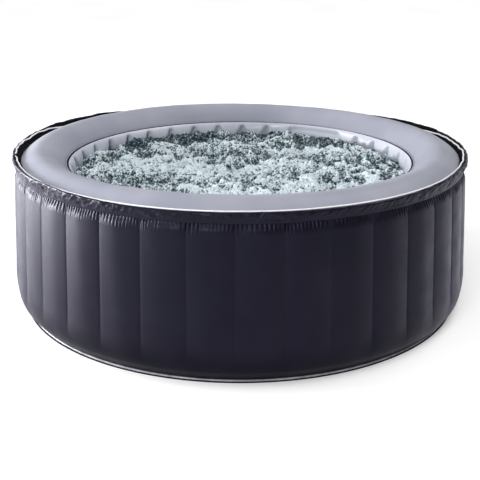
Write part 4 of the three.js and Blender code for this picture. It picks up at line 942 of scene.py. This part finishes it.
# A circuit board under green solder mask: satin, with its copper showing as fine gold lines.
board, tree, shader, place = finish("solder_masked_board", "#14532F", 0.38)
lanes = add(tree, "TexBrick", {"Vector": place, "Scale": 60.0, "Mortar Size": 0.02,
                               "Color1": linear("#14532F"), "Color2": linear("#1C6B3E"),
                               "Mortar": linear("#B08A3A")})
tree.links.new(lanes.outputs["Color"], shader.inputs["Base Color"])

# Polished smoked polycarbonate: nearly black, with a crisp reflection.
smoked, tree, shader, place = finish("smoked_polycarbonate", "#0C0D11", 0.08, Coat_Weight=0.3)
tint(tree, shader, mottle(tree, place, 30, 3), "#090A0E", "#12141A")
tree.links.new(mottle(tree, place, 80, 3, 0.05, 0.14), shader.inputs["Roughness"])

# Woven polyester web cloth: mid-grey and matt, with its weave standing up.
cloth, tree, shader, place = finish("polyester_web_cloth", "#84858A", 0.75)
turn, rise = wall_direction(tree, place)
tint(tree, shader, mottle(tree, place, 20, 3), "#808187", "#8B8C91")
relief(tree, shader, threads(tree, turn, rise), 0.0002, 0.6)

# %% Studio floor
# The floor is a light table: white acrylic lit from below, so that shadows on it stay pale.
floor_paint, tree, shader, place = finish(
    "lit_white_acrylic_floor", "#F0F0F0", 0.9,
    Specular_IOR_Level=0.0, Emission_Color=(1, 1, 1, 1), Emission_Strength=0.18,
)
tint(tree, shader, mottle(tree, place, 0.8, 2), "#EDEDED", "#F2F2F2")
print("finishes ready")

# %% [markdown]
# ## Which part wears what
#
# The CAD nodes come with one plain material each. Their material slots are filled with the
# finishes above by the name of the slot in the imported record.

# %% Assign finishes
FINISH_OF_SLOT = {
    "rim_vinyl": silver, "wall_laminate": jacket_skin, "web_cloth": cloth,
    "white_cord": white_vinyl, "grey_cord": foot_vinyl,
    "black_moulding": black_abs, "grey_moulding": grey_abs, "pale_moulding": pale_keys,
    "motor_steel": steel, "circuit_board": board, "filter_paper": paper,
    "lens": smoked, "seal_rubber": rubber,
}
slot_of_node = {part["node"]: part["material_slot"] for part in frame["record"]["subparts"]}


def wear(obj, material):
    """Gives every face of an object one material."""
    obj.data.materials.clear()
    obj.data.materials.append(material)


for name, node in frame["nodes"].items():
    wear(node, FINISH_OF_SLOT[slot_of_node[name]])
FINISH_OF_PIECE = {
    jacket: jacket_skin, lip: jacket_skin, foot_ring: jacket_skin, rim: silver, bathing_floor: silver,
    channel: silver, shell: lighter_shell_silver, welt: welt_vinyl, rim_cord: white_vinyl, foot_bead: foot_vinyl,
    water: wet, studio_floor: floor_paint,
}
for obj, material in FINISH_OF_PIECE.items():
    wear(obj, material)
# The lip's inner faces wear the dull dark copy of the laminate, which is painted shade.
lip.data.materials.append(lip_shade_laminate)
lip.data.polygons.foreach_set("material_index", lip_inside.astype(np.int32))
lip.data.update()
print(len(frame["nodes"]), "nodes finished")
